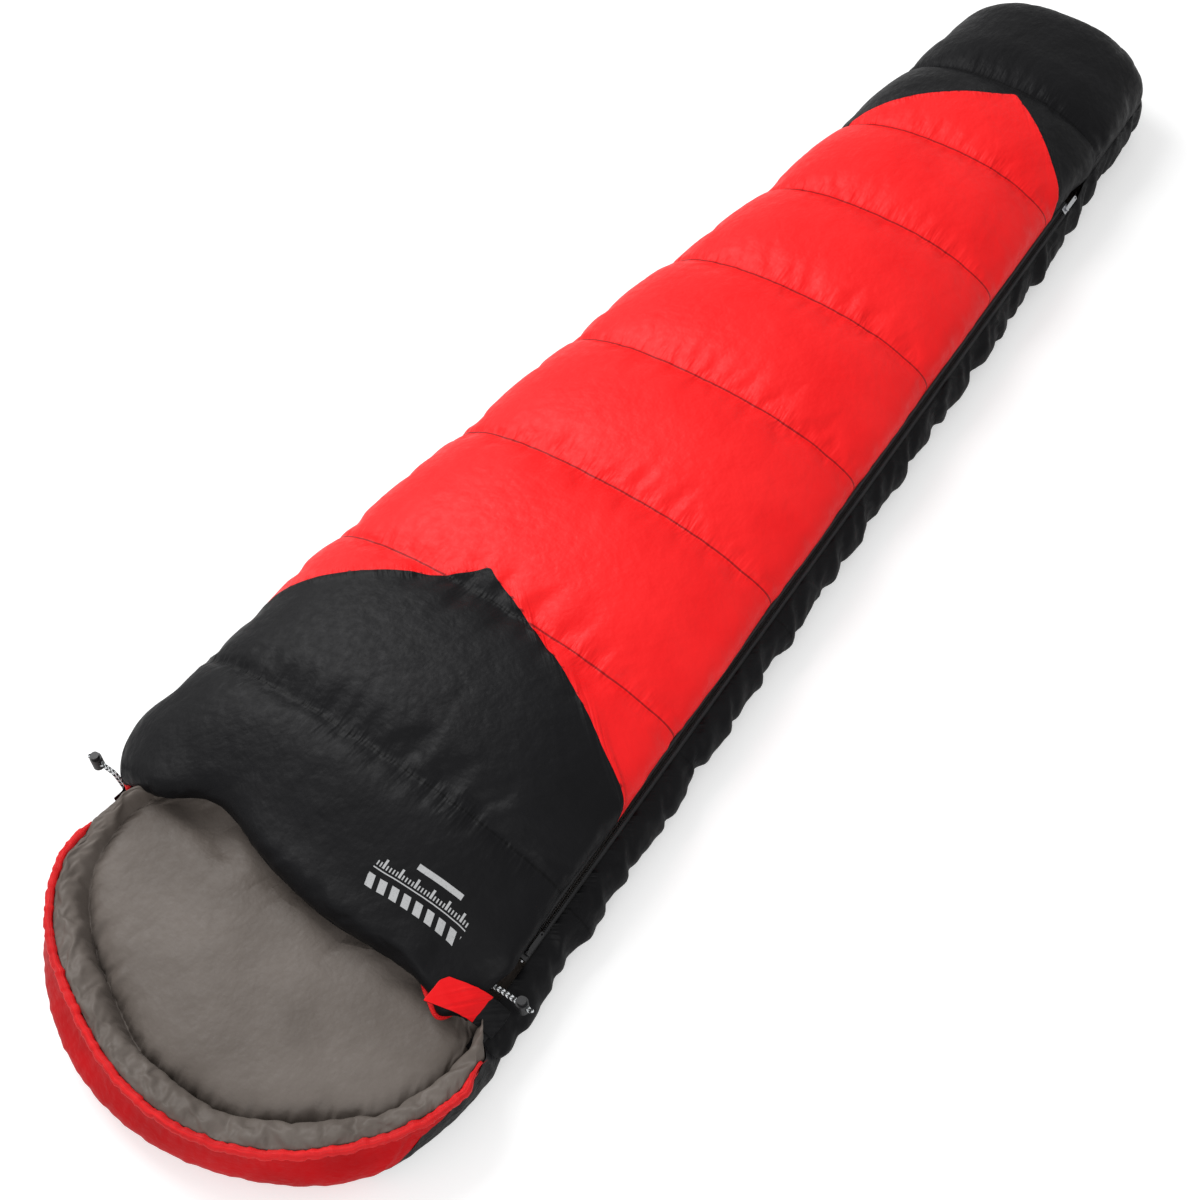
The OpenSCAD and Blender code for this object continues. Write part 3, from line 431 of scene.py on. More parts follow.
def quilt_rows(start, spacing, stop):
    """Places along the bag, evenly spaced between stitched rows, with one place on every stitched row."""
    knots = [start, *stitch_rows, stop]
    parts = [np.linspace(p, q, max(2, round((q - p) / spacing)), endpoint=False)
             for p, q in zip(knots[:-1], knots[1:])]
    return np.concatenate([*parts, [stop]])


def puff(y):
    """Fullness of the quilt along the bag: 0 on a stitched row, 1 midway between two and from half a pitch past the
    last. The row number at y is the root of the quadratic that places the rows."""
    b = stitch_pitch + narrowing / 2
    number = (b - np.sqrt(b * b - 2 * narrowing * (y - first_stitch))) / narrowing
    return np.where(number > numbers[-1] + 0.5, 1.0, np.abs(np.sin(np.pi * number)))


def read_values(source, label, width):
    """The named number or vector of every item, as rows of the given width."""
    values = np.empty(len(source) * width, np.float32)
    source.foreach_get(label, values)
    return values.reshape(-1, width)


def settle_cloth(piece, held, growth, pressure, cap, frames=20, bending=0.4):
    """Lets the piece's cloth find its own folds: blown up by a pressure, a little too large for its place by growth,
    and fixed where held is true. No point ends further than its cap from where it was."""
    mesh = piece.data
    before = read_values(mesh.vertices, "co", 3)
    piece.vertex_groups.new(name="held").add(np.nonzero(held)[0].tolist(), 1.0, "REPLACE")
    cloth = piece.modifiers.new("settle", "CLOTH")
    rule = cloth.settings
    rule.quality = 6
    rule.mass = 0.15
    rule.tension_stiffness = rule.compression_stiffness = 20
    rule.shear_stiffness = 8
    rule.bending_stiffness = bending
    rule.use_pressure = True
    rule.uniform_pressure_force = pressure
    rule.shrink_min = -growth
    rule.vertex_group_mass = "held"
    rule.effector_weights.gravity = 0
    cloth.collision_settings.use_collision = False
    cloth.collision_settings.use_self_collision = False
    cloth.point_cache.frame_end = frames
    for frame_number in range(1, frames + 1):
        bpy.context.scene.frame_set(frame_number)
    settled = piece.evaluated_get(bpy.context.evaluated_depsgraph_get()).data
    move = read_values(settled.vertices, "co", 3) - before
    far = np.maximum(np.linalg.norm(move, axis=1, keepdims=True), 1e-9)
    cap = np.broadcast_to(cap, far.shape)
    move = move / far * cap * np.tanh(far / cap)
    piece.modifiers.remove(cloth)
    piece.vertex_groups.clear()
    bpy.context.scene.frame_set(1)
    mesh.vertices.foreach_set("co", (before + move).ravel())
    mesh.update()


def finer(piece, levels=1):
    """Rounds the piece's faces with a subdivision surface."""
    rule = piece.modifiers.new("finer", "SUBSURF")
    rule.levels = rule.render_levels = levels
    rule.boundary_smooth = "PRESERVE_CORNERS"
    return piece


def new_group(name, inputs, outputs):
    """An empty shader node group with named sockets, and its input and output nodes."""
    group = bpy.data.node_groups.new(name, "ShaderNodeTree")
    for kind, sockets in (("INPUT", inputs), ("OUTPUT", outputs)):
        for label, socket in sockets:
            group.interface.new_socket(name=label, in_out=kind, socket_type="NodeSocket" + socket)
    return group, group.nodes.new("NodeGroupInput").outputs, group.nodes.new("NodeGroupOutput").inputs


def noise_node(tree, vector, scale, detail=2.0, rough=0.5):
    """Cloudy value from 0 to 1 whose patches are about 1 / scale metres wide."""
    node = tree.nodes.new("ShaderNodeTexNoise")
    feed(tree, node, {"Vector": vector, "Scale": scale, "Detail": detail, "Roughness": rough})
    return node.outputs[0]


def use_group(tree, group, **values):
    """Places a group in a material; each value is a socket or plain numbers."""
    node = tree.nodes.new("ShaderNodeGroup")
    node.node_tree = group
    feed(tree, node, values)
    return node.outputs


# Woven face: fine crossing threads, soft dents, small creases, and a colour a little lighter and darker in patches
woven_face, given, made = new_group(
    "woven_face", [("Place", "Vector"), ("Colour", "Color"), ("Shade", "Color"), ("Dents", "Float")],
    [("Colour", "Color"), ("Roughness", "Float"), ("Height", "Float")])
tree = woven_face
split = tree.nodes.new("ShaderNodeSeparateXYZ")
tree.links.new(given["Place"], split.inputs[0])
patches = noise_node(tree, given["Place"], 9.0, 2.0)
dents = noise_node(tree, given["Place"], 28.0, 3.0, 0.55)
creases = noise_node(tree, given["Place"], 95.0, 3.0, 0.6)
thread_density = 5700.0
warp = sum_node(tree, "SINE", times(tree, split.outputs[0], thread_density))
weft = sum_node(tree, "SINE", times(tree, split.outputs[1], thread_density))
threads = times(tree, warp, weft)
height = times(tree, dents, times(tree, given["Dents"], 0.0030))
height = plus(tree, height, times(tree, creases, times(tree, given["Dents"], 0.00055)))
height = plus(tree, height, times(tree, threads, 0.000012))
tree.links.new(height, made["Height"])
tree.links.new(mix_node(tree, ramp_node(tree, patches, 0.25, 0.75), given["Shade"], given["Colour"]), made["Colour"])
tree.links.new(ramp_node(tree, creases, 0.2, 0.8, 0.40, 0.56), made["Roughness"])

# Gathers: short folds that run away from a sewn line and fade out, and the dark thread line itself
gathers, given, made = new_group("gathers", [("Along", "Float"), ("Off", "Float"), ("Reach", "Float")],
                                 [("Height", "Float"), ("Thread", "Float")])
tree = gathers
spot = tree.nodes.new("ShaderNodeCombineXYZ")
tree.links.new(given["Along"], spot.inputs[0])
tree.links.new(times(tree, given["Off"], 0.22), spot.inputs[1])
folds = noise_node(tree, spot.outputs[0], 78.0, 2.0, 0.6)
fade = sum_node(tree, "MINIMUM", sum_node(tree, "DIVIDE", given["Off"], given["Reach"]), 1.0)
fade = sum_node(tree, "SUBTRACT", 1.0, fade)
fade = times(tree, fade, fade)
uneven = ramp_node(tree, noise_node(tree, spot.outputs[0], 14.0, 1.0), 0.3, 0.7, 0.25, 1.0)
tree.links.new(times(tree, times(tree, folds, fade), uneven), made["Height"])
tree.links.new(ramp_node(tree, given["Off"], 0.0007, 0.0022, 1.0, 0.0), made["Thread"])


def stored(tree, label):
    """A number that the piece stores at each point."""
    node = tree.nodes.new("ShaderNodeAttribute")
    node.attribute_name = label
    return node.outputs["Fac"]


def quilt_cloth(name, colour, shade, thread, gather=0.006, dents=1.0, gloss=0.5, edge_run=False):
    """Quilted cloth: the woven face, with gathers beside the stitched rows and beside the sewn edges. The piece's
    "row" and "hem" attributes hold each point's distance from its nearest stitched row and sewn edge, and "edge_run",
    where the cloth asks for it, its place along that edge."""
    mat, tree, skin = finish(name)
    place, across, along = place_sockets(tree)
    face = use_group(tree, woven_face, Place=place, Colour=colour, Shade=shade, Dents=dents)
    rows = use_group(tree, gathers, Along=across, Off=stored(tree, "row"), Reach=0.040)
    beside = stored(tree, "edge_run") if edge_run else plus(tree, across, along)
    hems = use_group(tree, gathers, Along=beside, Off=stored(tree, "hem"), Reach=0.028)
    height = times(tree, plus(tree, rows["Height"], hems["Height"]), gather)
    bump_node(tree, skin, plus(tree, height, face["Height"]))
    sewn = times(tree, sum_node(tree, "MAXIMUM", rows["Thread"], hems["Thread"]), 0.75)
    look(tree, skin, mix_node(tree, sewn, face["Colour"], thread), face["Roughness"], gloss)
    return mat


def set_sewn(piece, hem, y=None, run=None):
    """Stores each point's distance from its nearest sewn edge and, where y is given, stitched row, and its place along
    the edge where run is given."""
    far = np.full(np.shape(hem), 0.2) if y is None else np.abs(y[..., None] - stitch_rows).min(-1)
    for label, value in (("hem", hem), ("row", far), ("edge_run", run)):
        if value is not None:
            attribute = piece.data.attributes.new(label, "FLOAT", "POINT")
            attribute.data.foreach_set("value", np.asarray(value, np.float32).ravel())


def black_cloth(name):
    """The black shell's quilted cloth."""
    return quilt_cloth(name, tint(18, 18, 20), tint(13, 13, 15), tint(5, 5, 6), gather=0.008, gloss=0.14)


black_quilt = black_cloth("black_quilt")

bottom_rows = quilt_rows(neck_y, 0.0088, end_y)
bottom_shares = np.concatenate([np.linspace(-1, -0.4, 12, endpoint=False), np.linspace(-0.4, 0.4, 6, endpoint=False),
                                np.linspace(0.4, 1, 22)])
y, a = np.meshgrid(bottom_rows, bottom_shares, indexing="ij")
full = np.clip((a - 0.5) / 0.5, 0, 1)
full = np.sin(np.pi * full) * (1 - smooth((y - 0.9) / 0.15))
folds = (0.003 + 0.0050 * wander(y * 6.3, 1) + 0.0045 * wander(y * 15.0 + 0.5 * full, 2)
         + 0.002 * wander(y * 37.0 - full, 7))
lift = full * np.maximum(folds, -0.005)
points = face_points(bottom_face, a, y, lift)
points[..., 2] = np.maximum(points[..., 2], 0)
run = section_run(bottom_face, bottom_shares)
bottom_across = run - run[np.argmin(np.abs(bottom_shares))]
place = spread(bottom_across, y)
bottom_shell = wear(grid_mesh("bottom_quilt_shell", points, place, flip=True), black_quilt)
hem = np.minimum.reduce([0 * y + run[-1] - run, y - neck_y + 0.002, end_y - y, 0 * y + run])
set_sewn(bottom_shell, hem, y)
held = (a < 0.52) | (a > 0.995) | (y < neck_y + 0.001) | (y > end_y - 0.001)
settle_cloth(bottom_shell, held.ravel(), growth=0.06, pressure=0.8, cap=0.005, bending=0.1)
finer(bottom_shell)
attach(bottom_shell, "bag")
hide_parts("bottom_shell", "bottom_fill")

# ---------------------------------------------------------------------------
# Linings. Soft grey polyester inside the bag: one sheet on the bottom quilt and
# one under the top quilt, sewn to the shells along every stitched row.
# ---------------------------------------------------------------------------
grey_lining = quilt_cloth("grey_lining", tint(110, 101, 95), tint(98, 90, 84), tint(60, 55, 51), gather=0.004,
                          dents=0.8, gloss=0.2)
lining_across = 0.36
lining_rows = quilt_rows(front_y + 0.02, 0.02, end_y - 0.004)
shares = np.linspace(-0.97, 0.97, 49)
y, a = np.meshgrid(lining_rows, shares, indexing="ij")
depth = 0.0022 + mix(0.004, 0.028, np.clip((1 - np.abs(a)) / 0.6, 0, 1) ** 1.2) + 0.004 * puff(y) * (1 - a ** 8)
points = face_points(bottom_face, a, y, -depth)
place = np.stack([a * lining_across, y], -1)
bottom_lining = wear(grid_mesh("bottom_quilt_lining", points, place), grey_lining)
set_sewn(bottom_lining, 0 * y + 0.1)
finer(bottom_lining)
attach(bottom_lining, "bag")
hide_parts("bottom_lining")


section_power = 0.86


def top_face(a, y):
    """Outer face of the top, x and z, from the left seam (a = -1) over the crown to the zip (a = 1): x goes with the
    sine of a quarter turn and z with its cosine, both to the power 0.86."""
    opened = zip_open(y)
    edge_x = zip_side(y) - edge_back * math.cos(zip_tilt) * opened
    edge_z = zip_h + half_gap + edge_back * math.sin(zip_tilt) * opened
    low = mix(seam_h + half_gap, edge_z, (a + 1) / 2)
    crown = mix(front_h, crown_h, smooth((y - front_y) / crown_rise))
    crown = crown - 0.6 * corner_cut(end_y - y, foot_corner)
    f = np.sin(np.pi / 2 * np.abs(a)) ** section_power
    g = np.maximum(np.cos(np.pi / 2 * a), 0) ** section_power
    return np.sign(a) * np.where(a < 0, -left_side(y), edge_x) * f, low + (crown - low) * g


def front_line(a):
    """y of the top's front edge: 20 mm ahead of front_y, sagging back left of the middle, and a little further forward
    right of it and under the closure tab."""
    sag = 0.032 * bell(a, -0.24, 0.16)
    return front_y - 0.020 + sag - 0.008 * bell(a, 0.15, 0.15) - 0.014 * bell(a, 0.70, 0.09)


def front_roll(a, turn):
    """The front edge rolled under, as distance behind its foremost line and depth: a circle from its top, turn = 0,
    over the front to its underside, turn = 150 degrees, thick in the middle and thin at both sides."""
    r = 0.0022 + 0.0118 * (1 - a ** 6)
    return r * (1 - np.sin(turn)), r * (1 - np.cos(turn))


roll_end = math.radians(150)
lining_rows = quilt_rows(front_y, 0.02, end_y - 0.004)
y, a = np.meshgrid(lining_rows, shares, indexing="ij")
back, under = front_roll(a, roll_end)
ahead_of_row = y < stitch_rows[0]
y = np.where(ahead_of_row, mix(front_line(a) + back, stitch_rows[0], (y - front_y) / (stitch_rows[0] - front_y)), y)
depth = mix(0.006, 0.034, np.sqrt(np.clip((1 - np.abs(a)) / 0.4, 0, 1))) - 0.006 * (1 - puff(y)) * (1 - a ** 8)
depth = np.where(ahead_of_row, mix(under, depth, smooth((y - front_line(a) - back) / 0.04)), depth)
points = face_points(top_face, a, y, -depth)
place = np.stack([a * lining_across, y], -1)
top_lining = wear(grid_mesh("top_quilt_lining", points, place, flip=True), grey_lining)
set_sewn(top_lining, y - front_line(a))
finer(top_lining)
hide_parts("top_lining", "top_lining_flap")
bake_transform(top_lining)

# ---------------------------------------------------------------------------
# Top quilt. Three panels of satin polyester, black at the chest and the foot and
# red between, sewn together along two curved seams, filled with fibre, and
# stitched through to the lining in eight rows, between which it puffs up.
# ---------------------------------------------------------------------------


def seam_distance(a, peak_a, left, peak, right):
    """Distance of a seam from its end of the bag: from the peak, a little off the middle, it goes straight to the left
    and right sides' values but for a slight bow, as powers 0.8 and 0.83 of the share of the way."""
    to_left = np.clip((peak_a - a) / (peak_a + 1), 0, 1) ** 0.8
    to_right = np.clip((a - peak_a) / (1 - peak_a), 0, 1) ** 0.83
    return np.where(a < peak_a, mix(peak, left, to_left), mix(peak, right, to_right))


def chest_seam(a):
    """y of the seam between chest and torso: the front edge plus the seam's distance from it."""
    return front_y + seam_distance(a, -0.07, 0.214, 0.450, 0.265)


def foot_seam(a):
    """y of the seam between torso and foot: the foot end less the seam's distance from it."""
    return foot_y - seam_distance(a, 0.11, 0.478, 0.272, 0.413)


fine_a = np.linspace(-1, 1, 2001)
run = section_run(top_face, fine_a)
columns = 97
top_shares = np.interp(np.linspace(0, run[-1], columns), run, fine_a)
top_across = np.linspace(0, run[-1], columns) - np.interp(0, fine_a, run)
rolled_w = 0.036
top_rows = np.concatenate([np.linspace(front_y, front_y + rolled_w, 9, endpoint=False),
                           quilt_rows(front_y + rolled_w, 0.0082, end_y)])
y, a = np.meshgrid(top_rows, top_shares, indexing="ij")
row_y = y
# The first rows roll over the front edge, and those up to the first stitched one are squeezed to follow the front line
turn = roll_end * np.clip(1 - (row_y - front_y) / rolled_w, 0, 1)
back, under = front_roll(a, turn)
foremost = front_line(a) + front_roll(a, 0)[0]
flat_share = np.clip((row_y - front_y - rolled_w) / (stitch_rows[0] - front_y - rolled_w), 0, 1)
y = np.where(turn > 0, front_line(a) + back, np.where(flat_share < 1, mix(foremost, stitch_rows[0], flat_share), row_y))
side_fade = 1 - np.abs(a) ** 3.5
behind = y - front_line(a)
relief = (-0.0105 + 0.0125 * puff(y) ** 0.5) * side_fade * smooth((behind - 0.03) / 0.06)
points = face_points(top_face, a, y, relief * (1 - smooth((y - end_y + 0.17) / 0.06)) - under)
# The flank swells out over the zip, less towards the foot, and not beside the closure tab
k = np.clip((a - 0.55) / 0.45, 0, 1)
over_zip = mix(0.021, 0.009, (y - front_y) / (zip_foot_y - front_y)) * smooth((y - front_y - 0.012) / 0.05)
points[..., 0] += over_zip * smooth(k / 0.6) * (1 - k ** 7) * (0.6 + 0.4 * puff(y)) * (1 - smooth((y - 0.95) / 0.1))
crinkle = np.stack([wander(row_y * 61 + a * 7, 3), wander(a * 43 + row_y * 5, 4), wander(a * 37 + row_y * 53, 5)], -1)
points += 0.0004 * crinkle * side_fade[..., None]
sheet = grid_mesh("top_quilt", points, np.stack([np.broadcast_to(top_across, a.shape), row_y], -1))
held = (np.abs(a) > 0.995) | (puff(row_y) < 0.01) | (row_y < front_y + 0.001) | (row_y > end_y - 0.001)
beside_tab = smooth((a - 0.45) / 0.1) * (1 - smooth((y - front_y - 0.03) / 0.05))
cap = 0.0015 + 0.0065 * side_fade * (1 - beside_tab)
settle_cloth(sheet, held.ravel(), growth=0.035, pressure=2.0, cap=cap.reshape(-1, 1))

hems = np.minimum.reduce([np.abs(row_y - chest_seam(a)), np.abs(row_y - foot_seam(a)), row_y - front_y + 0.003,
                          run[-1] / 2 - np.abs(top_across) + 0 * a])
set_sewn(sheet, hems, row_y)


def panel(name, lines):
    """Part of the top on one side of each line, an (edge, keep) pair: every point is laid flat at (share across,
    distance past the edge), the sheet is cut where that is 0, and the points go back to their places."""
    mesh = sheet.data.copy()
    real = read_values(mesh.vertices, "co", 3)
    mesh.attributes.new("real", "FLOAT_VECTOR", "POINT").data.foreach_set("vector", real.ravel())
    for label, value in (("share", a), ("level", row_y)):
        mesh.attributes.new(label, "FLOAT", "POINT").data.foreach_set("value", value.ravel().astype(np.float32))
    for edge, keep in lines:
        share, level = (read_values(mesh.attributes[label].data, "value", 1)[:, 0] for label in ("share", "level"))
        flat = np.stack([share, level - edge(share), 0 * share], -1)
        mesh.vertices.foreach_set("co", flat.astype(np.float32).ravel())
        cut = bmesh.new()
        cut.from_mesh(mesh)
        bmesh.ops.bisect_plane(cut, geom=[*cut.verts, *cut.edges, *cut.faces], dist=1e-6, plane_co=(0, 0, 0),
                               plane_no=(0, keep, 0), clear_inner=True)
        cut.to_mesh(mesh)
        cut.free()
    mesh.vertices.foreach_set("co", read_values(mesh.attributes["real"].data, "vector", 3).ravel())
    for label in ("real", "share", "level"):
        mesh.attributes.remove(mesh.attributes[label])
    mesh.name = name
    mesh.update()
    return finer(add_object(name, mesh))


red_quilt = quilt_cloth("red_quilt", tint(255, 30, 32), tint(246, 18, 22), tint(110, 6, 10), gather=0.009, gloss=0.22)
# The chest carries a pale printed mark near the closure tab: a row of slanted blocks, a line, a scale of ticks and
# a bar
printed = black_cloth("black_quilt_printed")
tree = printed.node_tree
skin = tree.nodes["Principled BSDF"]
mark_low, mark_high = np.interp((0.19, 0.57), top_shares, top_across)
_, across, along = place_sockets(tree)
u = sum_node(tree, "DIVIDE", sum_node(tree, "SUBTRACT", across, float(mark_low)), float(mark_high - mark_low))
v = sum_node(tree, "DIVIDE", sum_node(tree, "SUBTRACT", along, front_y + 0.066), 0.040)


def between(value, low, high):
    """1 where the value lies between low and high, else 0."""
    return times(tree, sum_node(tree, "GREATER_THAN", value, low), sum_node(tree, "LESS_THAN", value, high))


slanted = plus(tree, u, times(tree, v, 0.12))
blocks = between(sum_node(tree, "FRACT", times(tree, slanted, 8.0)), 0.2, 0.8)
blocks = times(tree, blocks, between(v, 0.0, 0.27))
tick = between(sum_node(tree, "FRACT", times(tree, u, 30.0)), 0.3, 0.7)
long_tick = between(sum_node(tree, "FRACT", times(tree, u, 6.0)), 0.43, 0.57)
ticks = sum_node(tree, "MAXIMUM", times(tree, tick, between(v, 0.46, 0.56)),
                 times(tree, long_tick, between(v, 0.46, 0.66)))
line = between(v, 0.39, 0.415)
bar = times(tree, between(v, 0.80, 0.93), between(u, 0.34, 0.82))
mark = sum_node(tree, "MAXIMUM", sum_node(tree, "MAXIMUM", blocks, ticks), sum_node(tree, "MAXIMUM", line, bar))
mark = times(tree, mark, between(u, 0.0, 1.0))
worn = ramp_node(tree, noise_node(tree, place_sockets(tree)[0], 700.0), 0.2, 0.5, 0.62, 0.9)
ink = times(tree, mark, worn)
cloth_colour = skin.inputs["Base Color"].links[0].from_socket
tree.links.new(mix_node(tree, ink, cloth_colour, tint(190, 191, 192)), skin.inputs["Base Color"])

chest = wear(panel("chest_panel", [(chest_seam, -1)]), printed)
torso = wear(panel("torso_panel", [(chest_seam, 1), (foot_seam, -1)]), red_quilt)
foot = wear(panel("foot_panel", [(foot_seam, 1)]), black_quilt)
last_row = np.array([v.co for v in sheet.data.vertices])[-columns:]
bpy.data.objects.remove(sheet)
for piece, slot, stands_for in (
        (chest, "black_shell", ("top_shell_chest", "top_shell_chest_flap")),
        (torso, "red_shell", ("top_shell_torso", "top_shell_torso_flap", "top_fill", "top_fill_flap")),
        (foot, "black_shell", ("top_shell_foot",))):
    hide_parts(*stands_for)
    if piece is foot:
        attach(piece, "bag")
    else:
        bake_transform(piece)

# ---------------------------------------------------------------------------
# Front binding. A thin red piping sewn along the top's front edge, tucked under
# the roll of the quilt and showing only at its two ends.
# ---------------------------------------------------------------------------


def ribbed(tree, skin, face, along, density, height):
    """Woven bumps with ribs across: height times the sine of density times the place along."""
    ribs = times(tree, sum_node(tree, "SINE", times(tree, along, density)), height)
    bump_node(tree, skin, plus(tree, face["Height"], ribs))


trim, tree, skin = finish("red_trim")
place, along, _ = place_sockets(tree)
face = use_group(tree, woven_face, Place=place, Colour=tint(240, 22, 26), Shade=tint(206, 10, 18), Dents=0.4)
look(tree, skin, face["Colour"], face["Roughness"], 0.3)
ribbed(tree, skin, face, along, 3100.0, 0.00006)

a = np.linspace(-0.992, 0.985, 161)
peek = np.maximum(np.exp(-((a + 0.93) / 0.05) ** 2), np.exp(-((a - 0.66) / 0.12) ** 4))
back, under = front_roll(a, np.radians(150 - 60 * peek))
path = face_points(top_face, a, front_line(a) + back + mix(0.004, -0.002, peek), -under + mix(0.003, -0.001, peek))
piping_r = 0.0020 + 0.0012 * peek + 0.0003 * wander(np.linspace(0, 9, len(a)), 3)
binding = tube_piece("front_piping", path, piping_r, 10, trim)
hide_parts("front_binding", "front_binding_flap")
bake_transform(binding)

# ---------------------------------------------------------------------------
# Foot end. A rounded black panel that closes the foot and bulges out, lined with
# the same grey cloth.
# ---------------------------------------------------------------------------
t = np.linspace(0, 1, 13)[:, None]
a = top_shares[None, :]
high = last_row[None, :, :]
low_x, low_z = bottom_face(top_shares, np.full(columns, end_y))
low = np.stack([low_x, np.full(columns, end_y), low_z], -1)[None]
bulge = (foot_y - end_y) * np.sqrt(np.clip(1 - a ** 2, 0, 1)) * np.sqrt(4 * t * (1 - t))
points = mix(low, high, t[..., None])
points[..., 1] += bulge * (0.94 + 0.06 * wander(a * 1.3 + t * 0.9, 6))
place = spread(a * 0.2, 0.9 + t * 0.12)
foot_end = wear(grid_mesh("foot_end_panel", points, place, flip=True), black_quilt)
set_sewn(foot_end, np.minimum(t, 1 - t) * 0.12 + 0 * a)
finer(foot_end)
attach(foot_end, "bag")
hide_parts("foot_end_shell", "foot_end_fill")
points = points.copy()
points[..., 1] -= 0.010 + 0.4 * bulge
end_lining = wear(grid_mesh("foot_end_lining_cloth", points, place), grey_lining)
set_sewn(end_lining, 0.1 + 0 * t + 0 * a)
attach(end_lining, "bag")
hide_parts("foot_end_lining")

# ---------------------------------------------------------------------------
# Hood. A half bowl of quilted cloth on an oval plan: a grey lining that rolls over
# a padded rim and dips in a crease before the pillow, a drawcord channel in red
# along the rim, a red band below it, and a black shell underneath.
# ---------------------------------------------------------------------------
hood_low, hood_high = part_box("hood_band")
hood_x = (hood_low[0] + hood_high[0]) / 2
hood_rx = (hood_high[0] - hood_low[0]) / 2
hood_ry = neck_y - hood_low[1]
rim_h = hood_high[2]
neck_run = 0.045
channel_r = 0.0055
hood_turn = math.pi * (hood_rx + hood_ry) / 2


def rim_point(run, inward, z):
    """Point at a place along the rim, from 0 at the left end of the oval to hood_turn at its right end, inward from
    the oval's outline; before 0 it goes straight on into the bag, and past hood_turn it turns in below the tab."""
    turn = np.pi * np.clip(run / hood_turn, 0, 1)
    past = np.clip(-run, 0, None) + np.clip(run - hood_turn, 0, None)
    share = 1 - inward / ((hood_rx + hood_ry) / 2)
    x = hood_x - np.cos(turn) * hood_rx * share - np.where(run < 0, 0.0, 1.3) * past
    return spread(x, neck_y - np.sin(turn) * hood_ry * share + past, z)


def degrees(run):
    """Place along the rim as degrees round the oval."""
    return 180 * run / hood_turn


def lean(run):
    """How far in from the oval the channel stands: a bell a third of the way round, where the drawcord draws it in,
    more at the left end, a little less before the right end and more again at it."""
    q = degrees(run)
    drawn = 0.003 + 0.023 * bell(q, 66, np.where(q < 66, 24, 38)) + 0.021 * (1 - smooth(q / 24))
    return drawn - 0.005 * smooth((q - 140) / 25) + 0.013 * smooth((q - 168) / 12)


def rim_height(run):
    """Height of the rim: level round the oval, and falling under the top at both ends."""
    t = run / hood_turn
    return rim_h - 0.002 - 0.028 * smooth(-t / 0.055) - 0.030 * smooth((t - 0.985) / 0.055)


def channel_half(run):
    """Half the channel's width: it tapers to nothing at both ends, where the lining rolls over the rim instead."""
    q = degrees(run)
    return channel_r * smooth((q - 9) / 6) * smooth((179 - q) / 8)


# The lining is one sheet whose columns run from the rim to a line inside the bag, and whose rows follow the rim
run = np.linspace(-neck_run, hood_turn + neck_run, 217)[None, :]
q = degrees(run)
no_channel = 1 - smooth((q - 7) / 7) + 0.5 * smooth((q - 174) / 8)
first = lean(run) + channel_half(run) - 0.003 * no_channel + 0.003 * smooth((q - 172) / 6)
crease_at = 0.036 + 0.006 * bell(q, 128, 12) + 0.020 * smooth((q - 158) / 16) + 0.0035 * wander(run * 3.6, 7)
crease_depth = smooth((q - 22) / 26) * (0.85 + 0.25 * wander(run * 7.7, 5)) * (1 - 0.55 * bell(q, 150, 9))
crease_z = (mix(0.066, 0.038, crease_depth) + 0.003 * wander(run * 13.1, 8) - 0.014 * smooth((q - 178) / 12)
            - 0.010 * smooth(-q / 9))
edge = rim_point(run, first, 0.0)[..., :2]
share = (run + neck_run) / (hood_turn + 2 * neck_run)
inside = np.stack([mix(-0.150, 0.235, share), front_y + 0.095 + 0 * share], -1)
reach = np.linalg.norm(inside - edge, axis=-1)
tuck = np.array([-1.0, -0.66, -0.33])[:, None]
roll = (np.linspace(0, 1, 14) ** 1.15)[:, None]
bowl = (np.linspace(0, 1, 24)[1:] ** 1.7)[:, None]
at = np.concatenate([0 * tuck + 0 * run, roll * crease_at, crease_at + bowl * (reach - crease_at)])
u = np.clip(at / crease_at, 0, 1)
top_z = rim_height(run) + 0.006 + 0.003 * wander(run * 6.3, 2)
rise = rim_height(run) + (top_z - rim_height(run)) * np.sin(np.pi / 2 * np.clip(u / 0.3, 0, 1))
fall = crease_z + (top_z - crease_z) * np.clip(1 - np.clip((u - 0.3) / 0.7, 0, 1) ** 2.3, 0, 1) ** (1 / 2.1)
past = at - crease_at
inner = np.clip(past / (reach - crease_at), 0, 1)
level = mix(edge, inside, (at / reach)[..., None])
pillow = 0.061 + 0.004 * wander(level[..., 0] * 3.1 + level[..., 1] * 2.2, 1) - 0.022 * smooth((inner - 0.62) / 0.38)
full = crease_z + (pillow - crease_z) * (1 - np.exp(-np.clip(past, 0, None) / 0.012))
z = np.where(u < 0.3, rise, np.where(past <= 0, fall, full))
# Gathers run in from the rim over the roll and end soon past the crease
gather = 0.0034 * np.abs(wander(run * 12.0 + 0.9 * u, 3)) + 0.0022 * wander(run * 33.0 + 0.7 * u, 6) - 0.001
z = z + gather * np.sin(np.pi * np.clip((at + 0.004) / 0.070, 0, 1)) * (0.45 + 0.55 * crease_depth)
points = np.concatenate([level, z[..., None]], -1)
# Ahead of the rim the cloth turns down: behind the channel, or over the outside where there is none
down = np.concatenate([-tuck, np.zeros((len(at) - len(tuck), 1))])
outward = rim_point(run, first - 0.004, 0.0)[..., :2] - edge
points[..., :2] += outward * (no_channel * np.sin(np.pi * down))[..., None]
points[..., 2] -= down * mix(0.004, 0.022, no_channel)
place = np.stack([points[..., 0], points[..., 1]], -1)
lining = grid_mesh("hood_lining_cloth", points, place)
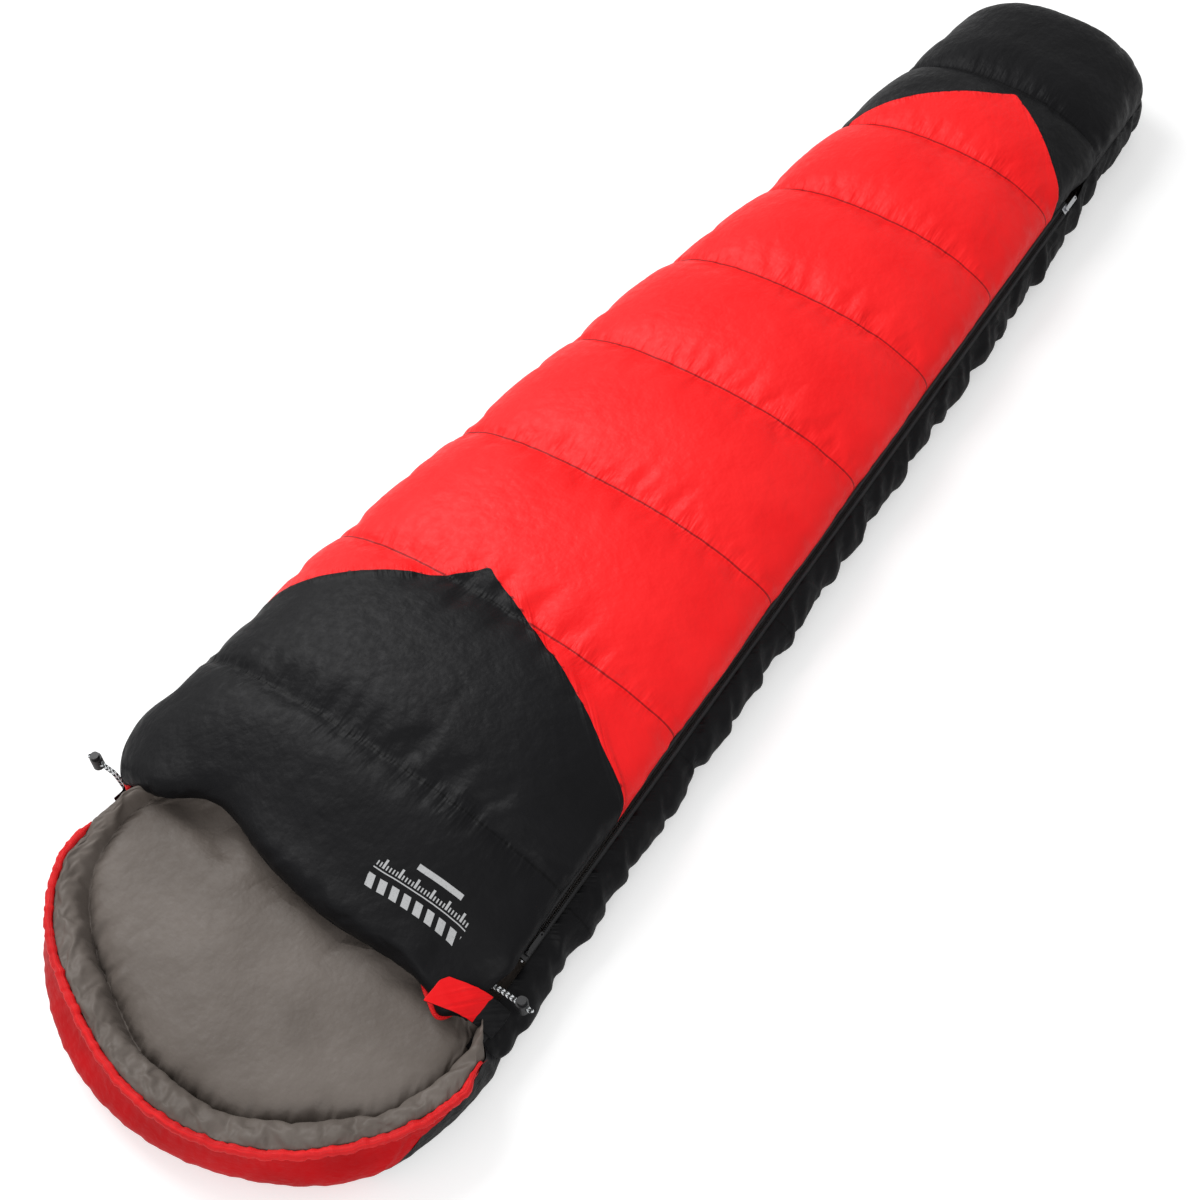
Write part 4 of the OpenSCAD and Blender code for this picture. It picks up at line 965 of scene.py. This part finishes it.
# A line stitched in an arc across the pillow: a parabola, its ends faded out, and distances from it taken square to it
from_middle = points[..., 0] - 0.068
arc_off = np.abs(points[..., 1] - (neck_y + 0.003 + 5.2 * from_middle ** 2)) / np.hypot(1, 10.4 * from_middle)
arc_off = arc_off + 0.3 * smooth((np.abs(points[..., 0] - 0.064) - 0.075) / 0.02)
rim_off = np.where(at > 0, at + 0.003, 0.003) + 0 * run
set_sewn(lining, np.minimum(arc_off, rim_off), None, np.where(arc_off < rim_off, points[..., 0], run))
row = np.arange(len(at))[:, None]
rim_row, crease_row = len(tuck), len(tuck) + len(roll) - 1
held = (down > 0) | (row == rim_row) | (row == crease_row) | (inner > 0.7) | (run < 0) | (run > hood_turn)
settle_cloth(lining, held.ravel(), growth=0.10, pressure=2.0, cap=0.008, bending=0.03)
hood_grey = quilt_cloth("hood_lining", tint(114, 106, 100), tint(99, 91, 85), tint(84, 77, 72), gather=0.008,
                        gloss=0.2, edge_run=True)
finer(wear(lining, hood_grey))

# The channel is a red tube gathered on its drawcord
turn_run = np.linspace(hood_turn * 0.058, hood_turn * 0.990, 300)
wobble = 0.0012 * wander(turn_run * 21, 9)
path = rim_point(turn_run, lean(turn_run) + wobble, rim_height(turn_run) + wobble)
gathered_r = np.maximum(channel_half(turn_run), 0.0022) * (1 + 0.2 * wander(turn_run * 55, 2))
channel = tube_piece("drawcord_channel", path, gathered_r, 14, trim)
rim_cord = tube_piece("rim_drawcord", path[::2], cord_d / 2, 8, braid)


def outside(run, s):
    """Outer face of the hood from the rim (s = 0) out to its widest line (s = 0.5) and under to the floor (s = 1), as
    distance inward and height: a slanting wall, then a quarter of an ellipse."""
    q = degrees(run)
    up = np.clip(2 * s, 0, 1)
    turn = np.pi / 2 * (1 - np.clip(2 * s - 1, 0, 1))
    widest = -0.006 * smooth((q - 20) / 20) * (1 - smooth((q - 148) / 16)) + 0.006 * smooth((q - 160) / 20)
    widest = widest - 0.007 * bell(q, 140, 16) - 0.9 * np.clip(run - hood_turn, 0, 0.025)
    inward = mix(lean(run) - 0.002, widest, smooth(up)) - 0.003 * np.sin(np.pi * up) + 0.050 * (1 - np.sin(turn))
    foot_z = 0.036 * rim_height(run) / rim_h
    z = np.where(s < 0.5, mix(rim_height(run) - 0.002, foot_z, up), foot_z * (1 - np.cos(turn)))
    return inward, z


def band_edge(run):
    """Share s of the outer face at which the red band ends: nearly at the floor for most of the way, high at the left
    end, and rising to the channel towards the right end."""
    at_degrees = (0, 30, 135, 145, 152, 158, 165, 180)
    return np.interp(degrees(run), at_degrees, (0.45, 0.90, 0.92, 0.75, 0.50, 0.20, 0.06, 0.0))


run = np.linspace(-0.030, hood_turn + 0.040, 250)
s = np.linspace(0, 1, 19)[:, None] * band_edge(run)
inward, z = outside(run, s)
ripple = 0.0012 * wander(run * 24 + s * 2, 4) + 0.0010 * wander(run * 60 + s, 6) * (1 - s)
points = rim_point(run, inward - ripple, z)
band = grid_mesh("hood_band_cloth", points, spread(run, s * 0.15), flip=True)
# The band is the torso's red shell cloth; its darker red is painted shade, for a band that faces out and down from the
# rim.
band_red_painted_shade = quilt_cloth("red_band_painted_shade", tint(205, 6, 16), tint(180, 4, 12), tint(120, 4, 10), gloss=0.12, edge_run=True)
set_sewn(band, s * 0.09 + 0.002 + 0 * run, None, run + 0 * s)
finer(wear(band, band_red_painted_shade))
s = mix(band_edge(run), 1, np.linspace(0, 1, 15)[:, None])
inward, z = outside(run, s)
points = rim_point(run, inward - 0.0015 * wander(run * 31 + s, 5) * (1 - s), z)
under = [rim_point(run, np.full_like(run, inward), 0 * run)[None] for inward in (0.16, 0.26)]
points = np.concatenate([points, *under])
place = spread(run, np.linspace(0, 0.3, len(points))[:, None])
hood_black = wear(grid_mesh("hood_shell_cloth", points, place, flip=True), black_quilt)
set_sewn(hood_black, place[..., 1])
finer(hood_black)
for piece, slot, stands_for in (
        (lining, "grey_lining", ("hood_lining", "hood_fill")), (channel, "red_trim", ("hood_channel",)),
        (rim_cord, "cord", ("hood_drawcord",)), (band, "red_shell", ("hood_band",)),
        (hood_black, "black_shell", ("hood_shell",))):
    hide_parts(*stands_for)
    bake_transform(piece)

# ---------------------------------------------------------------------------
# Zip. Two woven tapes sewn to the top and the bottom, each carrying half of a
# nylon coil, with metal stops at both ends.
# ---------------------------------------------------------------------------
zip_taper = zip_line(1.0) - zip_line(0.0)
zip_yaw = -math.atan(zip_taper)
zip_along = np.array([-math.sin(zip_yaw), math.cos(zip_yaw), 0])
zip_across = np.array([math.cos(zip_tilt) * math.cos(zip_yaw), math.cos(zip_tilt) * math.sin(zip_yaw),
                       -math.sin(zip_tilt)])
zip_up = np.cross(zip_across, zip_along)


def on_zip(y, across, up):
    """Points beside the zip's middle line: y along the bag, across towards the bottom quilt, up out of the bag."""
    y, across, up = np.broadcast_arrays(y, across, up)
    line = np.stack([zip_line(y), y, np.full(y.shape, zip_h)], -1)
    return line + across[..., None] * zip_across + up[..., None] * zip_up


tape_mat, tree, skin = finish("zip_tape")
place, along, _ = place_sockets(tree)
face = use_group(tree, woven_face, Place=place, Colour=tint(34, 34, 36), Shade=tint(26, 26, 28), Dents=0.2)
look(tree, skin, face["Colour"], 0.75)
ribbed(tree, skin, face, along, 4200.0, 0.00005)

coil_mat, tree, skin = finish("zip_coil")
tone = noise_node(tree, place_sockets(tree)[0], 300.0, 1.0)
look(tree, skin, mix_node(tree, tone, tint(22, 22, 24), tint(32, 32, 34)), ramp_node(tree, tone, 0.3, 0.7, 0.28, 0.36))

zip_front_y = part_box("zip_tape_bottom")[0][1] + 0.004
y = np.linspace(zip_front_y, zip_foot_y - 0.003, 200)
coil_pitch = 0.0026
tape_in, tape_out, tape_half = 0.00365, 0.0085, 0.00035
turns = np.arange(zip_front_y + 0.003, zip_foot_y - 0.004, coil_pitch)
for name, side, blends in (("bottom", 1, False), ("top", -1, True)):
    section = [(tape_in, tape_half), (tape_out, tape_half), (tape_out, -tape_half), (tape_in, -tape_half)]
    ring = np.stack([on_zip(y, side * across, up) for across, up in section], 1)
    place = spread(y[:, None], np.arange(4)[None] * 0.003)
    tape = wear(grid_mesh("zip_tape_%s_woven" % name, ring, place, around=True, capped=True, flip=side < 0), tape_mat)
    q = np.arange(len(turns) * 8) * np.pi / 4
    path = on_zip(np.repeat(turns, 8) + np.tile(np.arange(8), len(turns)) * coil_pitch / 8,
                  side * (0.00215 - 0.0011 * np.cos(q)), 0.00095 * np.sin(q))
    coil = tube_piece("zip_coil_%s_wound" % name, path, 0.0004, 4, coil_mat)
    for piece, slot, stem in ((tape, "zip_tape", "zip_tape_"), (coil, "zip_coil", "zip_coil_")):
        if blends:
            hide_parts(stem + "top", stem + "flap")
            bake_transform(piece)
        else:
            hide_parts(stem + "bottom")
            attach(piece, "bag")


def hard(name, dark, light, smooth_rough, coarse_rough, scale, detail=3.0, uneven=0.6, tone_scale=None, metallic=0.0):
    """Hard material: one noise mixes its two tints and sets its roughness, ramped from 0.2 to 0.8. With tone_scale
    the tints have a noise of their own."""
    mat, tree, skin = finish(name)
    spot = tree.nodes.new("ShaderNodeTexCoord").outputs["Object"]
    rub = noise_node(tree, spot, scale, detail, uneven)
    tone = noise_node(tree, spot, tone_scale) if tone_scale else rub
    look(tree, skin, mix_node(tree, tone, tint(*dark), tint(*light)),
         ramp_node(tree, rub, 0.2, 0.8, smooth_rough, coarse_rough))
    skin.inputs["Metallic"].default_value = metallic
    return mat, tree, skin, rub


bright = hard("nickel_plate", (196, 197, 200), (222, 223, 226), 0.18, 0.34, 420.0, metallic=1.0)[0]
lacquer = hard("black_lacquer", (20, 20, 22), (34, 34, 36), 0.24, 0.42, 380.0)[0]
moulded, tree, skin, grain = hard("moulded_plastic", (24, 24, 26), (34, 34, 36), 0.38, 0.52, 1500.0, 2.0,
                                  tone_scale=120.0)
bump_node(tree, skin, times(tree, grain, 0.00006))
steel = hard("spring_steel", (150, 150, 154), (190, 190, 194), 0.25, 0.4, 900.0, 2.0, 0.5, metallic=1.0)[0]
for mat, bare in ((bright, ("zip_end_stops", "lower_slider", "lower_pull")), (lacquer, ("upper_slider", "upper_pull")),
                  (moulded, ("lock_barrel_right", "lock_plunger_right", "lock_barrel_left", "lock_plunger_left")),
                  (steel, ("lock_spring_right", "lock_spring_left"))):
    for node in bare:
        wear(nodes[node], mat)

# ---------------------------------------------------------------------------
# Closure tab. A red cloth tab sewn to the top beside its front corner, lying over
# the front end of the zip, held down by a hook patch on a loop patch.
# ---------------------------------------------------------------------------
tab_low, tab_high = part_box("closure_tab")
tab_y = (tab_low[1] + tab_high[1]) / 2
tab_w = tab_high[1] - tab_low[1]
off_quilt, off_zip = 0.0055, 0.0075


def tab_line(y, lift):
    """The tab's run from its sewn end over the zip's front end and down the side, at one y, as 61 even points. It lies
    askew: y grows with x by the tangent of 20 degrees up to the zip."""
    ys = np.full(4, max(y, front_y))
    over = face_points(top_face, np.array([0.61, 0.68, 0.78, 0.88]), ys, off_quilt + lift)
    rise = off_zip + lift
    cross = (zip_line(ys[0]) + rise * math.sin(zip_tilt), y, zip_h + rise * math.cos(zip_tilt))
    down = face_points(bottom_face, np.array([0.97, 0.945, 0.92]), ys[:3], off_quilt + lift)
    line = np.concatenate([over, [cross], down])
    line[:, 1] = y + math.tan(math.radians(20)) * np.minimum(line[:, 0] - 0.283, 0.020)
    line = rounded(line, 3)
    share = run_along(line)
    # The far corner of its sewn end is cut off
    start = 0.007 * max(0.0, (y - tab_y) / (tab_w / 2) - 0.6) / 0.4
    even = np.linspace(start, share[-1], 61)
    return np.stack([np.interp(even, share, line[:, k]) for k in range(3)], 1)


rows_y = np.linspace(tab_y - tab_w / 2 + 0.001, tab_y + tab_w / 2 - 0.001, 25)
outer = np.stack([tab_line(v, 0.0014) for v in rows_y])
inner = np.stack([tab_line(v, -0.0006) for v in rows_y])
k = np.linspace(0, 1, outer.shape[1])[None, :]
j = np.linspace(-1, 1, 25)[:, None]
crumple = 0.0006 * wander(k * 1.6 + j * 0.5, 2) + 0.0014 * smooth(k / 0.6) * wander(k * 5 - j * 1.1, 5)
outer[..., 2] += crumple
inner[..., 2] += crumple
ring = np.concatenate([outer, inner[::-1]])
place = spread(np.concatenate([j, 3 - j])[..., 0][:, None] * 0.02, k * 0.13)
# Its lower end, where the hook patch is sewn on, is faced with black
tab_cloth, tree, skin = finish("tab_cloth")
spot, _, along = place_sockets(tree)
face = use_group(tree, woven_face, Place=spot, Colour=tint(250, 20, 26), Shade=tint(232, 12, 18), Dents=0.3)
faced = ramp_node(tree, along, 0.0860, 0.0866)
look(tree, skin, mix_node(tree, faced, face["Colour"], tint(16, 16, 18)), face["Roughness"], 0.2)
bump_node(tree, skin, face["Height"])
tab = grid_mesh("closure_tab_cloth", ring.transpose(1, 0, 2), place.transpose(1, 0, 2), around=True, capped=True,
                flip=True)
wear(tab, tab_cloth)
finer(tab)
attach(tab, "tab")
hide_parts("closure_tab")

pile, tree, skin = finish("hook_and_loop")
spot = tree.nodes.new("ShaderNodeTexCoord").outputs["Object"]
tufts = noise_node(tree, spot, 1300.0, 2.0, 0.7)
look(tree, skin, mix_node(tree, tufts, tint(16, 16, 17), tint(48, 48, 50)), 0.85)
bump_node(tree, skin, times(tree, tufts, 0.0006))
wear(nodes["tab_hook_patch"], pile)
wear(nodes["tab_loop_patch"], pile)

# ---------------------------------------------------------------------------
# Hanging loop. A doubled strip of red webbing, sewn into the side seam at the
# foot's left corner.
# ---------------------------------------------------------------------------
loop_low, loop_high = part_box("hang_loop")
root = np.array([loop_high[0], loop_low[1], (loop_low[2] + loop_high[2]) / 2]) + (0.010, 0.002, 0)
way = np.array([-1, 1, 0]) / math.sqrt(2)
cross_way = np.array([-1, -1, 0]) / math.sqrt(2)
q = np.linspace(0, 2 * np.pi, 60, endpoint=False)
loop_r, pinch = 0.0135, 0.0036
turn, swing = np.cos(q)[:, None], np.sin(q)[:, None]
eye = loop_r * (1 - turn) * way + pinch * swing * (1 - 0.5 * turn) * cross_way + root
wide = (loop_high[2] - loop_low[2]) / 2
strip = []
for up, out_ in ((-1, 0.0005), (1, 0.0005), (1, -0.0005), (-1, -0.0005)):
    spoke = eye - (root + loop_r * way)
    spoke /= np.linalg.norm(spoke, axis=1)[:, None]
    strip.append(eye + spoke * out_ + np.array([0, 0, up * wide]))
strip = np.stack(strip, 0)
strip = np.concatenate([strip, strip[:1]], 0)
strip = np.concatenate([strip, strip[:, :1]], 1)
place = spread(np.linspace(0, 0.06, 61)[None, :], np.linspace(0, 0.03, 5)[:, None])
loop = wear(grid_mesh("hang_loop_webbing", strip, place), trim)
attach(loop, "bag")
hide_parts("hang_loop")

# ---------------------------------------------------------------------------
# Floor and light. A plain white floor, a large soft lamp above the bag's left
# side, a weaker one past its head on the zip side, and an even sky.
# ---------------------------------------------------------------------------
floor_mesh = bpy.data.meshes.new("floor")
floor_half, floor_z = 30, -0.0005
corners = [(x * floor_half, y * floor_half, floor_z) for x, y in ((-1, -1), (1, -1), (1, 1), (-1, 1))]
floor_mesh.from_pydata(corners, [], [(0, 1, 2, 3)])
floor = add_object("floor", floor_mesh)
paper, tree, skin = finish("floor_paper")
look(tree, skin, (0.8, 0.8, 0.8, 1), 0.9)
seen = tree.nodes.new("ShaderNodeLightPath")
glow = tree.nodes.new("ShaderNodeEmission")
glow.inputs["Strength"].default_value = 0.42
both = tree.nodes.new("ShaderNodeAddShader")
part = tree.nodes.new("ShaderNodeMixShader")
tree.links.new(skin.outputs[0], both.inputs[0])
tree.links.new(glow.outputs[0], both.inputs[1])
tree.links.new(seen.outputs["Is Camera Ray"], part.inputs[0])
tree.links.new(skin.outputs[0], part.inputs[1])
tree.links.new(both.outputs[0], part.inputs[2])
tree.links.new(part.outputs[0], tree.nodes["Material Output"].inputs["Surface"])
wear(floor, paper)

sky = bpy.data.worlds.new("sky")
bpy.context.scene.world = sky
sky.use_nodes = True
sky.node_tree.nodes["Background"].inputs["Color"].default_value = (1, 1, 1, 1)
sky.node_tree.nodes["Background"].inputs["Strength"].default_value = 0.55


def lamp(name, place, aim, size, power):
    """A square soft lamp at place, facing aim."""
    light = bpy.data.lights.new(name, "AREA")
    light.shape = "SQUARE"
    light.size = size
    light.energy = power
    holder = add_object(name, light)
    holder.location = place
    holder.rotation_euler = (Vector(aim) - Vector(place)).to_track_quat("-Z", "Y").to_euler()


lamp("key", (-2.2, 0.2, 2.6), (0, -0.1, 0), 2.2, 75)
lamp("fill", (1.4, -2.4, 2.2), (0.1, -0.6, 0), 1.6, 22)

bpy.context.scene.view_settings.view_transform = "Standard"
bpy.context.view_layer.update()
